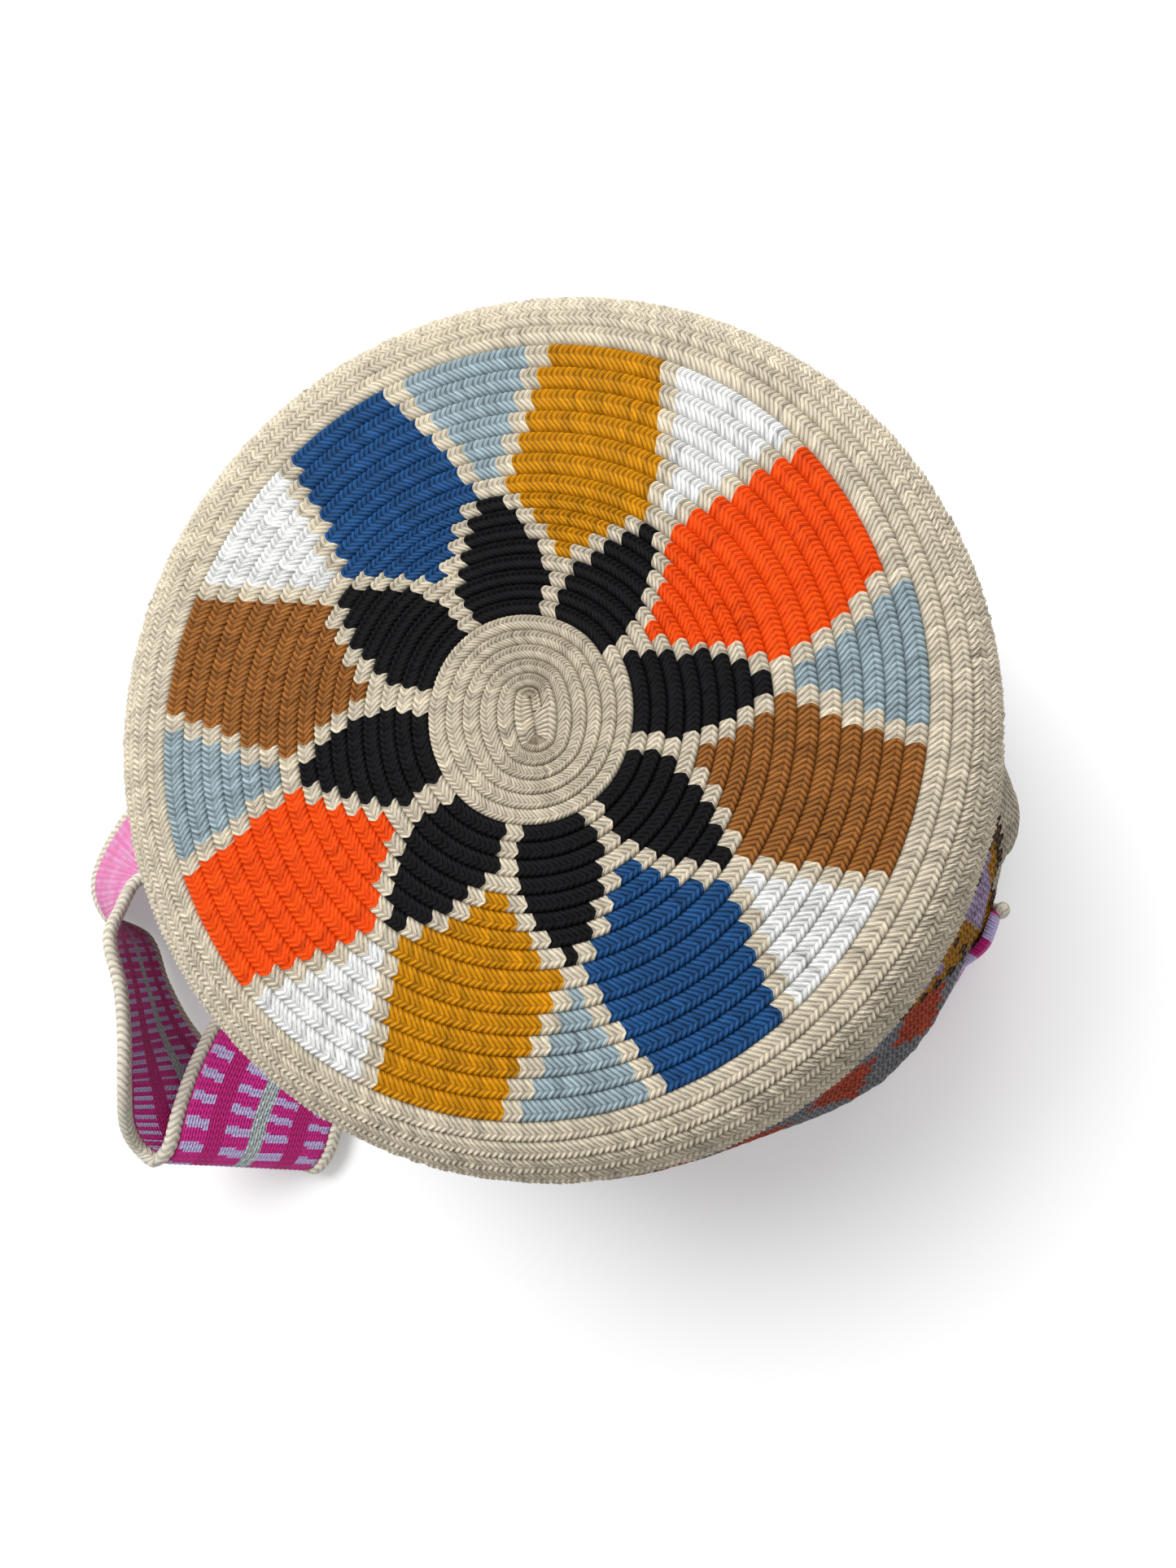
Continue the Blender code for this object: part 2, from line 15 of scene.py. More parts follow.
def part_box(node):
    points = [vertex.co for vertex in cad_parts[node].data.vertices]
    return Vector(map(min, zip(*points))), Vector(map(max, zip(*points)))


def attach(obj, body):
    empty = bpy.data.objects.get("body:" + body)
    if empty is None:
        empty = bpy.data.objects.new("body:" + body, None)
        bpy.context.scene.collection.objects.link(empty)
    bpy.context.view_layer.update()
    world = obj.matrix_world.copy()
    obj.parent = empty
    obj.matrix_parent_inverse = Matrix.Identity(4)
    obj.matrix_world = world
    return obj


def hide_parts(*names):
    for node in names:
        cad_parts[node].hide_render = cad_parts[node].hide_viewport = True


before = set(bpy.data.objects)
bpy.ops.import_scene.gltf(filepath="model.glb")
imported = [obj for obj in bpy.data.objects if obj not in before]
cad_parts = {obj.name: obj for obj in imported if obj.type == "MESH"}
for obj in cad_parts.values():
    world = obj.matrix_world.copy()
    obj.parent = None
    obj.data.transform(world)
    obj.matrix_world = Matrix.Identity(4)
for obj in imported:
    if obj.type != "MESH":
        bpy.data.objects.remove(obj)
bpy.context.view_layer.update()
bpy.ops.object.select_all(action="DESELECT")

bl_info = {
    "name": "Crocheted shoulder bag",
    "version": (1, 0, 0),
    "blender": (4, 5, 0),
    "location": "View3D > Sidebar > Bag",
    "description": "Builds a crocheted bucket bag and its woven strap, stitch by stitch",
    "category": "Add Mesh",
}

# Crochet of the bag, as in its solid
ROW_PITCH = 0.0052
FABRIC = 0.0040
RIDGE = 0.0007
ROWS_FLAT = 20
ROWS_END = 55.6
BASE_HEIGHT = 0.1400
EDGE_RADIUS = 0.1205
EDGE_DROP = 0.0100
BELLY_RADIUS = 0.1255
BELLY_HEIGHT = 0.0900
CREASE_RADIUS = 0.1040
CREASE_HEIGHT = 0.0600
LOW_BELLY_RADIUS = 0.1340
LOW_BELLY_HEIGHT = 0.0290
MOUTH_RADIUS = 0.1240
SHOULDER_SWELL = (0.0070, -38.0, 50.0)
SHOULDER_LUMP = (0.0048, -10.0, 9.0)
BACK_SWELL = (0.0060, 165.0, 70.0)
RIGHT_SWELL = (0.0045, -31.0, 45.0)
CREASE_WAVE = 0.0030
CREASE_HEIGHT_WAVE = 0.0040
LEFT_LIFT = (215.0, 24.0, 12.0)
RIGHT_LIFT = (-31.0, 18.0, 10.0)
LIFT_PLAY = 0.0022
# Rows that the wall's profile passes through at the sizes above
KNOT_ROWS = np.array((19, 20, 22, 24, 26.4, 32.2, 35.1, 40.5, 46.6, 49.7, 52.9, ROWS_END))

# The spiral of the rounds: azimuth where a round begins, then turns made and the row reached
SEAM = 20.0
SPIRAL = ((0.0, 0.506), (5.06, 4.50), (13.17, 11.60), (20.17, 18.95), (26.0, 25.4), (56.2, 55.6))
DISC_ROUNDS = 6
PETAL_ROUNDS = 14
PATTERN_ROUNDS = 21
WALL_START = 27
LAST_ROUND = 57
# How far the worked rounds lie off true circles: at a row, outwards, along X and along Y, in rows
DRIFT = ((0.0, 0.0, 0.0, 0.0), (5.0, 0.24, -0.43, 0.12), (12.5, 0.20, -0.59, -0.27),
         (19.7, 0.42, -0.34, 0.065), (25.4, 0.0, 0.0, 0.0))
# The first rounds go round a short chain: its azimuth, half its length, the rows it fades over,
# and how soon the two ends become round
OVAL_AZIMUTH = 100.0
OVAL_STRETCH = 0.0048
OVAL_ROWS = 5.0
OVAL_FLATNESS = 1.5
# The base's last rounds are oval too: by how many rows, its azimuth, and the rows where it shows
RIM_OVAL = 0.368
RIM_OVAL_AZIMUTH = 66.4
RIM_OVAL_ROWS = (12.0, 19.7, 25.4)
# The edge of the base leans over a little, along X and Y.
# Where such a change shows is given as its first row, rows to rise, last row and rows to fall.
EDGE_SHIFT = (-0.0019, 0.0010)
EDGE_SHIFT_ROWS = (14.0, 7.0, 40.0, 10.0)
# Hand-worked cloth is uneven in waves: height, waves round the bag, turn at each row, and start
BASE_WAVES = ((0.00045, 2, 0.35, 0.5), (0.00035, 5, -0.5, 0.0))
BASE_WAVE_ROWS = (0.0, 4.0, 20.0, 6.0)
WALL_WAVES = ((0.0009, 7, 0.4, 0.0), (0.0007, 11, -0.3, 1.0))
WALL_WAVE_ROWS = (27.0, 4.0, 46.0, 4.0)
# Eyelets near the mouth that a drawstring would run through, and half their width in degrees. Each
# is a stitch sunk in and painted near black: painted shade where the hole is
EYELETS = np.array((0.0, 31.0, 62.0, 94.0, 125.0, 156.0, 219.0, 245.0, 271.0, 297.0))
EYELET_ROUND = 53
EYELET_HALF = 2.1
EYELET_SINK = 0.0010
# Tone of an eyelet's stitch: painted shade of the hole
EYELET_SHADE = 0.06
# The wall is pushed in under the strap's right end: azimuth, half width and ramp, rows and depth
STRAP_DENT = (-49.0, 18.0, 8.0)
STRAP_DENT_ROWS = (44.0, 3.0, 55.0, 3.0)
DENT_DEPTH = 0.0065

# Chart of the base: middle of each kite, the round of its tip and how much wider it is
KITES = ((32.4, 10, 2.2), (78.6, 11, 0.0), (124.0, 11, 0.0), (169.6, 11, 0.0), (214.1, 11, 0.0),
         (258.0, 11, 0.0), (300.8, 11, 0.0), (344.6, 11, 0.0))
KITE_YARNS = ("orange", "mustard", "blue", "brown")
GAP_YARNS = ("white", "light_blue")
# Half widths of a kite in degrees, from its widest round to the pattern's last one
KITE_HALVES = (18.5, 16.2, 14.9, 13.0, 11.7, 10.5, 9.4)
# Half width at a kite's tip, and what each round from there adds
TIP_HALF = 3.5
TIP_GROWTH = 3.75
# Towards the middle each round's kites stand a little more to one side
KITE_LEAN = 0.25
# Cream outline of a kite, and half the line between two petals
OUTLINE = 0.0050
LINE_HALF = 0.0025
# The disc's cream ends its first black round a little past the first kite
DISC_END_AZIMUTH = KITES[0][0] + 6.0

# Chart of the wall, in degrees and rounds: panels, and the diamonds between them
PANEL_START = -52.0
PANEL_PITCH = 60.0
FOLD_ROUNDS = 8
# A diamond's sides: half width at its middle round, and what each round takes off
DIAMOND_RIGHT = (17.0, 2.3)
DIAMOND_LEFT = (10.0, 0.9)
# How far in its dark and its mustard outline reach, and how wide the dark cap at its top is
DARK_WIDTH = 1.8
MUSTARD_WIDTH = 3.9
DARK_TOP = 8.0
# The mustard eye in a diamond: azimuth in its unit, half width, rounds and its dark core
EYE = (-6.0, 3.0, 5, 1.0)
# Stepped shapes in the panels: first one, pitch, rounds to the next, half width and half height
STEP_START = -40.0
STEP_PITCH = 12.5
STEP_ROUNDS = 8
STEP_HALVES = (5.2, 3.4)
CREAM_STEP_ROUNDS = 7

# A stitch across its row: how the row's shape and its strokes' depth change
ROW_SHARES = np.array((0.0, 0.08, 0.22, 0.42, 0.60, 0.68, 0.80, 0.93, 1.0))
ROW_HEIGHTS = np.array((-0.66, -0.16, 0.18, 0.18, -0.26, 0.02, 0.36, 0.15, -0.66)) * 0.001
STROKE_SHARES = np.array((0.2, 0.8, 1.0, 1.0, 0.6, 0.7, 1.0, 0.9, 0.2))
# How far the edges of a stitch, and its strokes, lean along the row, counterclockwise
EDGE_LEAN = np.array((0.20, 0.40, 0.75, 1.20, 1.45, 1.40, 1.00, 0.50, 0.20)) * 0.001
STROKE_LEAN = np.array((0.0, 0.30, 1.05, 2.10, 2.90, 2.75, 2.25, 1.70, 1.50)) * 0.001
# How much strokes differ in tone, and in height
TONE_SPREAD = 0.09
LIFT_SPREAD = 0.00013
# Columns of faces in a stroke where the mesh draws it, and where bump does
DRAWN_COLUMNS = 5
PLAIN_COLUMNS = 1

# Yarn as the material draws it: its plies, their turns across a row, fibres along and across
# a stroke, and patches in a metre
PLIES = 3.0
PLY_TURNS = 2.5
FIBRES = (7.0, 1.4, 1.0)
PATCHES = 160.0

# Back of the cloth: its points round the bag, how far it lies under the stitches, and its ripple
LINING_AROUND = 144
LINING_SINK = 0.0011
LINING_RIPPLE = 0.0003

# Strap
BAND_WIDTH = 0.0540
BAND_THICKNESS = 0.0030
BORDER_DIAMETER = 0.0058
SEAT = 0.0007
# How many times finer than in the solid the strap's steps are
STEPS_FINER = 3
# Threads across the band, the length of a pick, the rounding of its edges and its play
BAND_THREADS = 60
PICK = 0.0009
EDGE_ROUNDING = 0.0012
BAND_PLAY = 0.0001
# Spacing of the weave that the material draws
WEAVE_PITCH = 0.0010
LEFT_END_AZIMUTH = 186.0
RIGHT_END_AZIMUTH = -31.0
END_CURVE = 0.0039
END_ROWS = (47.4, 49.5, 51.6)
END_STEPS = 3
# Radius and height where each end bends down to the floor
LEFT_BEND = ((0.1390, 0.0088),)
RIGHT_BEND = ((0.1305, 0.0042), (0.1392, 0.0088))
# Points on the band's two edges from the bag's left round to its right, and the steps between
ROUTE = (
    ((-0.1480, -0.0438, 0.0157), (-0.1620, 0.0138, 0.0034), 3),
    ((-0.1570, -0.0385, 0.0415), (-0.1930, -0.0069, 0.0034), 4),
    ((-0.1655, -0.0415, 0.0470), (-0.2098, -0.0374, 0.0035), 3),
    ((-0.1685, -0.0520, 0.0520), (-0.2035, -0.0540, 0.0035), 2),
    ((-0.1668, -0.0625, 0.0600), (-0.1860, -0.0625, 0.0035), 2),
    ((-0.1606, -0.0785, 0.0620), (-0.1770, -0.0800, 0.0035), 2),
    ((-0.1575, -0.0963, 0.0620), (-0.1650, -0.0975, 0.0035), 2),
    ((-0.1575, -0.1125, 0.0590), (-0.1440, -0.1180, 0.0035), 2),
    ((-0.1600, -0.1262, 0.0515), (-0.1275, -0.1360, 0.0038), 3),
    ((-0.1597, -0.1335, 0.0460), (-0.1155, -0.1440, 0.0042), 3),
    ((-0.1550, -0.1378, 0.0460), (-0.1070, -0.1455, 0.0048), 3),
    ((-0.1502, -0.1338, 0.0470), (-0.1020, -0.1395, 0.0050), 3),
    ((-0.1488, -0.1222, 0.0440), (-0.0990, -0.1285, 0.0048), 3),
    ((-0.1490, -0.1035, 0.0330), (-0.0925, -0.1190, 0.0042), 3),
    ((-0.1455, -0.0838, 0.0170), (-0.0850, -0.1070, 0.0040), 3),
    ((-0.1290, -0.0650, 0.0060), (-0.0740, -0.0925, 0.0040), 3),
    ((-0.1068, -0.0332, 0.0042), (-0.0552, -0.0648, 0.0038), 3),
    ((-0.0891, -0.0029, 0.0220), (-0.0389, -0.0311, 0.0040), 3),
    ((-0.0662, 0.0196, 0.0510), (-0.0318, 0.0084, 0.0036), 3),
    ((-0.0360, 0.0360, 0.0640), (-0.0320, 0.0360, 0.0036), 3),
    ((-0.0100, 0.0500, 0.0640), (-0.0100, 0.0500, 0.0036), 3),
    ((0.0160, 0.0470, 0.0640), (0.0160, 0.0470, 0.0036), 3),
    ((0.0360, 0.0260, 0.0640), (0.0360, 0.0260, 0.0036), 3),
    ((0.0470, -0.0030, 0.0630), (0.0520, 0.0070, 0.0036), 3),
    ((0.0530, -0.0360, 0.0500), (0.0710, -0.0020, 0.0040), 3),
    ((0.0650, -0.0640, 0.0190), (0.0930, -0.0120, 0.0040), 3),
    ((0.0770, -0.0780, 0.0046), (0.1070, -0.0260, 0.0038), 2),
    ((0.0875, -0.0870, 0.0040), (0.1187, -0.0350, 0.0038), 2),
)
# Length along the strap against dashes woven so far: they lie closer in the standing stretch
DASHES = ((0.0, 0.0), (0.06, 8.0), (0.21, 47.0), (0.25, 53.0), (0.672, 110.95), (0.673, 111.2))
# Past the fold the band lies a little askew: length where that starts and ends, and the slope
DASH_SKEW = (0.21, 0.24, 0.20)
DASH_SHARE = 0.42
# Columns of dashes on each side of the middle stripe, and half that stripe
DASH_COLUMNS = ((0.0030, 0.0120), (0.0178, 0.0262))
MIDDLE_HALF = 0.0027
# Stretch painted paler as a highlight, where light falls full on the band: middle, half length and
# how far
PAINTED_HIGHLIGHT = (0.085, 0.050, 0.80)
# A border's columns of faces, the points round it, and its slant out to the side and upwards
BORDER_STEP = 0.0004
BORDER_AROUND = 20
BORDER_SLANT = (0.0026, 0.0008)
# Length over which a border runs out at its sewn ends
BORDER_TAPER = 0.004

# Where the lights and the camera stand, in metres from the bag, and the way the camera looks back
SUN_FROM = (-0.46, 0.46, 1.05)
LAMP_FROM = (-0.22, 0.15, 0.46)
WINDOW_FROM = (0.20, 0.34, 0.28)
PANEL_SIZE = (0.35, 0.30)
AIM_HEIGHT = 0.08
CAMERA_FROM = (0.06888, -0.05567, 0.43692)
CAMERA_BACK = (0.177, -0.124, 0.976)
FLOOR_SIZE = 12.0


def to_linear(hex_colour):
    """sRGB hex to linear red, green and blue."""
    channels = [int(hex_colour[i:i + 2], 16) / 255 for i in (1, 3, 5)]
    return tuple(c / 12.92 if c <= 0.04045 else ((c + 0.055) / 1.055) ** 2.4 for c in channels)


def yarn_property(name, words, hex_colour):
    """Setting for the colour of one yarn."""
    return FloatVectorProperty(name=name, description=words, subtype="COLOR", size=3,
                               min=0.0, max=1.0, default=to_linear(hex_colour))


def size_property(name, words, metres):
    """Setting for a size of the worked yarn."""
    return FloatProperty(name=name, description=words, subtype="DISTANCE", unit="LENGTH",
                         default=metres, min=0.00005, precision=5)


class CrochetSizes(bpy.types.PropertyGroup):
    """Sizes of the worked yarn."""
    stroke_pitch: size_property("Stroke pitch", "Length of row that one stroke takes", 0.0016)
    first_pitch: size_property("First strokes", "Stroke pitch of the first rounds", 0.00125)
    stroke_depth: size_property("Stroke depth", "Half the height of a stroke", 0.00040)
    strand_radius: size_property("Border radius", "Half the thickness of a border", 0.0024)
    strand_pitch: size_property("Border stitches", "Length of one stitch of a border", 0.0025)
    rib: size_property("Warp rib", "Height of the band's warp threads", 0.00022)


class BagYarns(bpy.types.PropertyGroup):
    """Yarns of the bag's crochet."""
    cream: yarn_property("Cream", "Ground of the base and its outlines", "#ddd1ba")
    black: yarn_property("Black", "Petals round the middle", "#121115")
    mustard: yarn_property("Mustard", "Two kites, and borders on the wall", "#d08c02")
    orange: yarn_property("Orange", "Two kites", "#fe5106")
    brown: yarn_property("Brown", "Two kites", "#a56930")
    blue: yarn_property("Blue", "Two kites", "#23558c")
    light_blue: yarn_property("Light blue", "Four small triangles", "#a3b6bd")
    white: yarn_property("White", "Four small triangles", "#f0f1ef")
    grey: yarn_property("Grey", "Panels of the wall", "#a09fa6")
    lilac: yarn_property("Lilac", "Diamonds of the wall", "#cbb4da")
    dark_brown: yarn_property("Dark brown", "Outlines on the wall", "#5a3c26")
    red: yarn_property("Red", "Steps on the wall", "#d9532e")


class StrapYarns(bpy.types.PropertyGroup):
    """Yarns of the strap."""
    magenta: yarn_property("Magenta", "Ground of the band", "#dc2891")
    deep_magenta: yarn_property("Deep magenta", "Two plain stripes", "#ca1f7e")
    painted_highlight: yarn_property("Painted highlight", "Stretch in full light", "#fb95cb")
    dash: yarn_property("Dash", "Lilac dashes", "#cdbcec")
    middle: yarn_property("Middle", "Grey-green middle stripe", "#aeb8bb")
    middle_light: yarn_property("Middle flecks", "Pale flecks of the middle stripe", "#d5dcdc")
    border: yarn_property("Border", "Crocheted borders", "#efe7d5")


class StageSettings(bpy.types.PropertyGroup):
    """Floor, lights and camera."""
    sun_strength: FloatProperty(name="Daylight", description="Strength of the main light",
                                default=1.25, min=0.0)
    softness: FloatProperty(name="Softness", description="Width of the main light in degrees",
                            default=30.0, min=0.0, max=90.0)
    lamp_power: FloatProperty(name="Lamp", description="Power of the light at the upper left",
                              unit="POWER", default=1.4, min=0.0)
    window_power: FloatProperty(name="Window", description="Power of the low light at the back",
                                unit="POWER", default=0.9, min=0.0)
    fill_strength: FloatProperty(name="Fill", description="Strength of the light all round",
                                 default=0.43, min=0.0)
    focal: FloatProperty(name="Lens", description="Focal length for a 36 mm wide sensor",
                         unit="CAMERA", default=36.1, min=10.0)


def spread(azimuth, centre):
    """Unsigned difference of azimuths in degrees, up to 180."""
    return np.abs((azimuth - centre + 180.0) % 360.0 - 180.0)


def swell(azimuth, shape):
    """Smooth swelling round an azimuth, given as height, middle and half spread."""
    height, centre, half_spread = shape
    share = np.minimum(spread(azimuth, centre) / half_spread, 1.0)
    return height * np.cos(share * np.pi / 2) ** 2


def between_rows(rows, shape):
    """1 between two rows, from 0 before the first and after the last."""
    first, rise, last, fall = shape
    return np.clip((rows - first) / rise, 0.0, 1.0) * np.clip((last - rows) / fall, 0.0, 1.0)


def plateau(azimuth, shape):
    """Flat top of height 1 round an azimuth with smooth sides."""
    centre, half_width, ramp = shape
    share = np.clip((spread(azimuth, centre) - half_width) / ramp, 0.0, 1.0)
    return np.cos(share * np.pi / 2) ** 2


def wall_knots(azimuth):
    """Radii and heights that the outer profile passes through at each azimuth."""
    one = np.ones_like(azimuth)
    bump = swell(azimuth, SHOULDER_SWELL) + swell(azimuth, SHOULDER_LUMP)
    belly = BELLY_RADIUS + bump + swell(azimuth, BACK_SWELL)
    wave = np.radians(azimuth)
    crease = CREASE_RADIUS + CREASE_WAVE * np.sin(3 * wave + 0.6)
    crease_height = CREASE_HEIGHT + CREASE_HEIGHT_WAVE * np.sin(2 * wave + 1.0)
    low_belly = LOW_BELLY_RADIUS + swell(azimuth, RIGHT_SWELL)
    lift = (BORDER_DIAMETER + LIFT_PLAY) * np.maximum(plateau(azimuth, LEFT_LIFT),
                                                      plateau(azimuth, RIGHT_LIFT))
    flat = ROWS_FLAT * ROW_PITCH * one
    edge = (BASE_HEIGHT - EDGE_DROP) * one
    top = BASE_HEIGHT * one
    # Beside each named size the cloth lies a few millimetres further in or down
    radii = np.stack((flat - ROW_PITCH, flat, (EDGE_RADIUS - 0.0070) * one, EDGE_RADIUS * one,
                      EDGE_RADIUS + 0.0015 + 0.3 * bump, belly, belly - 0.0035, crease,
                      low_belly - 0.0045, low_belly, low_belly - 0.0030, MOUTH_RADIUS * one))
    heights = np.stack((top, top, top - 0.0018, edge, edge - 0.0120, BELLY_HEIGHT * one,
                        (BELLY_HEIGHT - 0.0140) * one, crease_height,
                        LOW_BELLY_HEIGHT + 0.0150 + 0.15 * lift, LOW_BELLY_HEIGHT + 0.30 * lift,
                        0.0130 + 0.65 * lift, lift))
    return radii, heights


def smooth_curve(knots, pick, x):
    """Smooth curve through the values that pick gives for each knot, read at x."""
    last = len(knots) - 1
    i = np.clip(np.searchsorted(knots, x, side="left") - 1, 0, last - 1)

    def slope(k):
        low = np.maximum(k - 1, 0)
        high = np.minimum(k + 1, last)
        return (pick(high) - pick(low)) / (knots[high] - knots[low])

    span = knots[i + 1] - knots[i]
    t = (x - knots[i]) / span
    start = pick(i) * (2 * t ** 3 - 3 * t ** 2 + 1)
    end = pick(i + 1) * (3 * t ** 2 - 2 * t ** 3)
    return (start + slope(i) * span * (t ** 3 - 2 * t ** 2 + t)
            + end + slope(i + 1) * span * (t ** 3 - t ** 2))


def wall_curve(values, rows):
    """Smooth curve through each column of values at the knot rows, read at that column's row."""
    column = np.arange(len(rows))
    return smooth_curve(KNOT_ROWS, lambda k: values[k, column], rows)


def waves(azimuth, rows, shapes):
    """Height of waves round the bag that turn a little with each row."""
    a = np.radians(azimuth)
    return sum(height * np.sin(count * a + turn * rows + start)
               for height, count, turn, start in shapes)


def unevenness(azimuth, rows):
    """How far hand-worked cloth lies off the even form, outwards in metres."""
    base = between_rows(rows, BASE_WAVE_ROWS) * waves(azimuth, rows, BASE_WAVES)
    wall = between_rows(rows, WALL_WAVE_ROWS) * waves(azimuth, rows, WALL_WAVES)
    return base + wall - strap_dent(azimuth, rows)


def strap_dent(azimuth, rows):
    """Depth that the strap's right end is pressed into the wall."""
    return DENT_DEPTH * plateau(azimuth, STRAP_DENT) * between_rows(rows, STRAP_DENT_ROWS)


def edge_shift(rows):
    """Share of the base edge's lean at a row."""
    share = between_rows(rows, EDGE_SHIFT_ROWS)
    return share * share * (3.0 - 2.0 * share)


def profile_points(azimuth, rows):
    """Points of the even form in the bag's own frame, its axis upright at x = y = 0."""
    radii, heights = wall_knots(azimuth)
    on_wall = rows > ROWS_FLAT - 1
    safe = np.maximum(rows, ROWS_FLAT - 1)
    radius = np.where(on_wall, wall_curve(radii, safe), rows * ROW_PITCH)
    height = np.where(on_wall, wall_curve(heights, safe), BASE_HEIGHT)
    a = np.radians(azimuth)
    # The first rounds are worked round a short chain, so the middle is an oval
    along = np.clip(OVAL_FLATNESS * np.cos(np.radians(azimuth - OVAL_AZIMUTH)), -1.0, 1.0)
    stretch = OVAL_STRETCH * along * np.exp(-rows / OVAL_ROWS)
    tilt = math.radians(OVAL_AZIMUTH)
    lean = edge_shift(rows)
    return np.stack((radius * np.cos(a) + stretch * math.cos(tilt) + EDGE_SHIFT[0] * lean,
                     radius * np.sin(a) + stretch * math.sin(tilt) + EDGE_SHIFT[1] * lean,
                     height), axis=-1)


def find_bag_centre():
    """Where the bag's axis meets the floor in the row frame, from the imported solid's box."""
    azimuth, rows = np.meshgrid(np.arange(0.0, 360.0, 7.5), np.arange(40.0, ROWS_END + 0.01, 0.1))
    points = profile_points(azimuth.ravel(), rows.ravel())
    low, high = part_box("bag_body")
    middle = 0.5 * (points.min(axis=0) + points.max(axis=0))
    return np.array((0.5 * (low.x + high.x) - middle[0], 0.5 * (low.y + high.y) - middle[1],
                     high.z - RIDGE - BASE_HEIGHT))


BAG_CENTRE = find_bag_centre()


def cloth(azimuth, rows):
    """Points of the bag's cloth in the row frame, and its outward normals."""
    # The normal is read 0.2 rows and 0.2 degrees to each side, and points up at the very middle
    step = 0.2
    rows = np.clip(rows, 0.0, ROWS_END)
    low = np.maximum(rows - step, 0.02)
    high = np.minimum(low + 2 * step, ROWS_END)
    outward = profile_points(azimuth, high) - profile_points(azimuth, high - 2 * step)
    turn = profile_points(azimuth + step, np.maximum(rows, 0.3))
    turn = turn - profile_points(azimuth - step, np.maximum(rows, 0.3))
    normal = np.cross(outward, turn)
    normal /= np.maximum(np.linalg.norm(normal, axis=1, keepdims=True), 1e-12)
    normal[rows < 1.0] = (0.0, 0.0, 1.0)
    points = profile_points(azimuth, rows) + normal * unevenness(azimuth, rows)[:, None]
    return points + BAG_CENTRE, normal


def spiral_row(turns):
    """Row of the outer edge of the spiral after a number of turns."""
    made, reached = zip(*SPIRAL)
    return np.interp(turns, made, reached)


def drawn_row(azimuth, rows):
    """Where the hand drew each row."""
    at, out, along_x, along_y = zip(*DRIFT)
    a = np.radians(azimuth)
    outermost = np.interp(rows, RIM_OVAL_ROWS, (0.0, RIM_OVAL, 0.0))
    return (rows + np.interp(rows, at, out) + np.interp(rows, at, along_x) * np.cos(a)
            + np.interp(rows, at, along_y) * np.sin(a)
            + outermost * np.cos(2.0 * (a - math.radians(RIM_OVAL_AZIMUTH))))


def nearest_kite(azimuth):
    """Index of the nearest kite and the azimuth's place in degrees counterclockwise of it."""
    places = [(azimuth - kite[0] + 180.0) % 360.0 - 180.0 for kite in KITES]
    index = min(range(len(KITES)), key=lambda i: abs(places[i]))
    return index, places[index]


def base_yarn(number, azimuth, row):
    """Yarn of a stroke of the base's chart."""
    if number <= DISC_ROUNDS or number > PATTERN_ROUNDS:
        return "cream"
    if number == DISC_ROUNDS + 1 and azimuth < DISC_END_AZIMUTH:
        return "cream"
    index, place = nearest_kite(azimuth)
    _, tip, extra = KITES[index]
    inwards = max(PETAL_ROUNDS + 1 - number, 0)
    away = abs(place - KITE_LEAN * inwards)
    degree = math.radians(1.0) * row * ROW_PITCH
    outline = OUTLINE / degree
    if number < tip - 1:
        return "cream" if away < LINE_HALF / degree else "black"
    if number == tip - 1:
        return "cream" if away < 2.0 * LINE_HALF / degree else "black"
    if inwards:
        half = TIP_HALF + TIP_GROWTH * (number - tip)
    else:
        half = KITE_HALVES[number - PETAL_ROUNDS - 1] + extra
    if away < half:
        return KITE_YARNS[index % 4]
    if away < half + outline or number == PETAL_ROUNDS + 1:
        return "cream"
    if number <= PETAL_ROUNDS:
        return "black"
    return GAP_YARNS[(index + (place < 0)) % 2]


def wall_yarn(number, azimuth):
    """Yarn of a stroke of the wall's chart: diamonds between grey and cream panels."""
    depth = number - WALL_START
    panel, unit = divmod(azimuth - PANEL_START, PANEL_PITCH)
    unit -= 0.5 * PANEL_PITCH
    fold = abs((depth + FOLD_ROUNDS) % (2 * FOLD_ROUNDS) - FOLD_ROUNDS)
    from_right = unit + DIAMOND_RIGHT[0] - DIAMOND_RIGHT[1] * fold
    from_left = DIAMOND_LEFT[0] - DIAMOND_LEFT[1] * fold - unit
    inside = min(from_right, from_left)
    if inside > 0.0:
        middle, half, rounds, core = EYE
        eye = abs(unit - middle)
        if inside < DARK_WIDTH or (depth == 0 and 0.0 < unit < DARK_TOP):
            return "dark_brown"
        if inside < MUSTARD_WIDTH or (eye < half and fold < rounds):
            return "dark_brown" if eye < core and depth % 2 else "mustard"
        return "lilac"
    grey = (unit < 0) == (panel % 2 == 0)
    step, across = divmod(azimuth - STEP_START + 0.5 * STEP_PITCH, STEP_PITCH)
    across = abs(across - 0.5 * STEP_PITCH)
    down = abs((depth + 1 - step % 2) % STEP_ROUNDS - 3.0)
    if across / STEP_HALVES[0] + down / STEP_HALVES[1] < 1.0:
        if grey:
            return "red"
        return "blue" if depth > CREAM_STEP_ROUNDS else "cream"
    return "grey" if grey else "cream"


def mesh_object(name, points, faces, material):
    """Object from points and faces, smooth, in the scene."""
    mesh = bpy.data.meshes.new(name)
    mesh.from_pydata(np.asarray(points).tolist(), [], np.asarray(faces).tolist())
    mesh.polygons.foreach_set("use_smooth", np.ones(len(mesh.polygons), dtype=bool))
    mesh.materials.append(material)
    mesh.update()
    made = bpy.data.objects.new(name, mesh)
    bpy.context.scene.collection.objects.link(made)
    return made


def strip_faces(columns, across):
    """Quads of a strip of columns of points."""
    column, place = np.meshgrid(np.arange(columns - 1), np.arange(across - 1), indexing="ij")
    first = (column * across + place).ravel()
    return np.stack((first, first + 1, first + across + 1, first + across), axis=1)


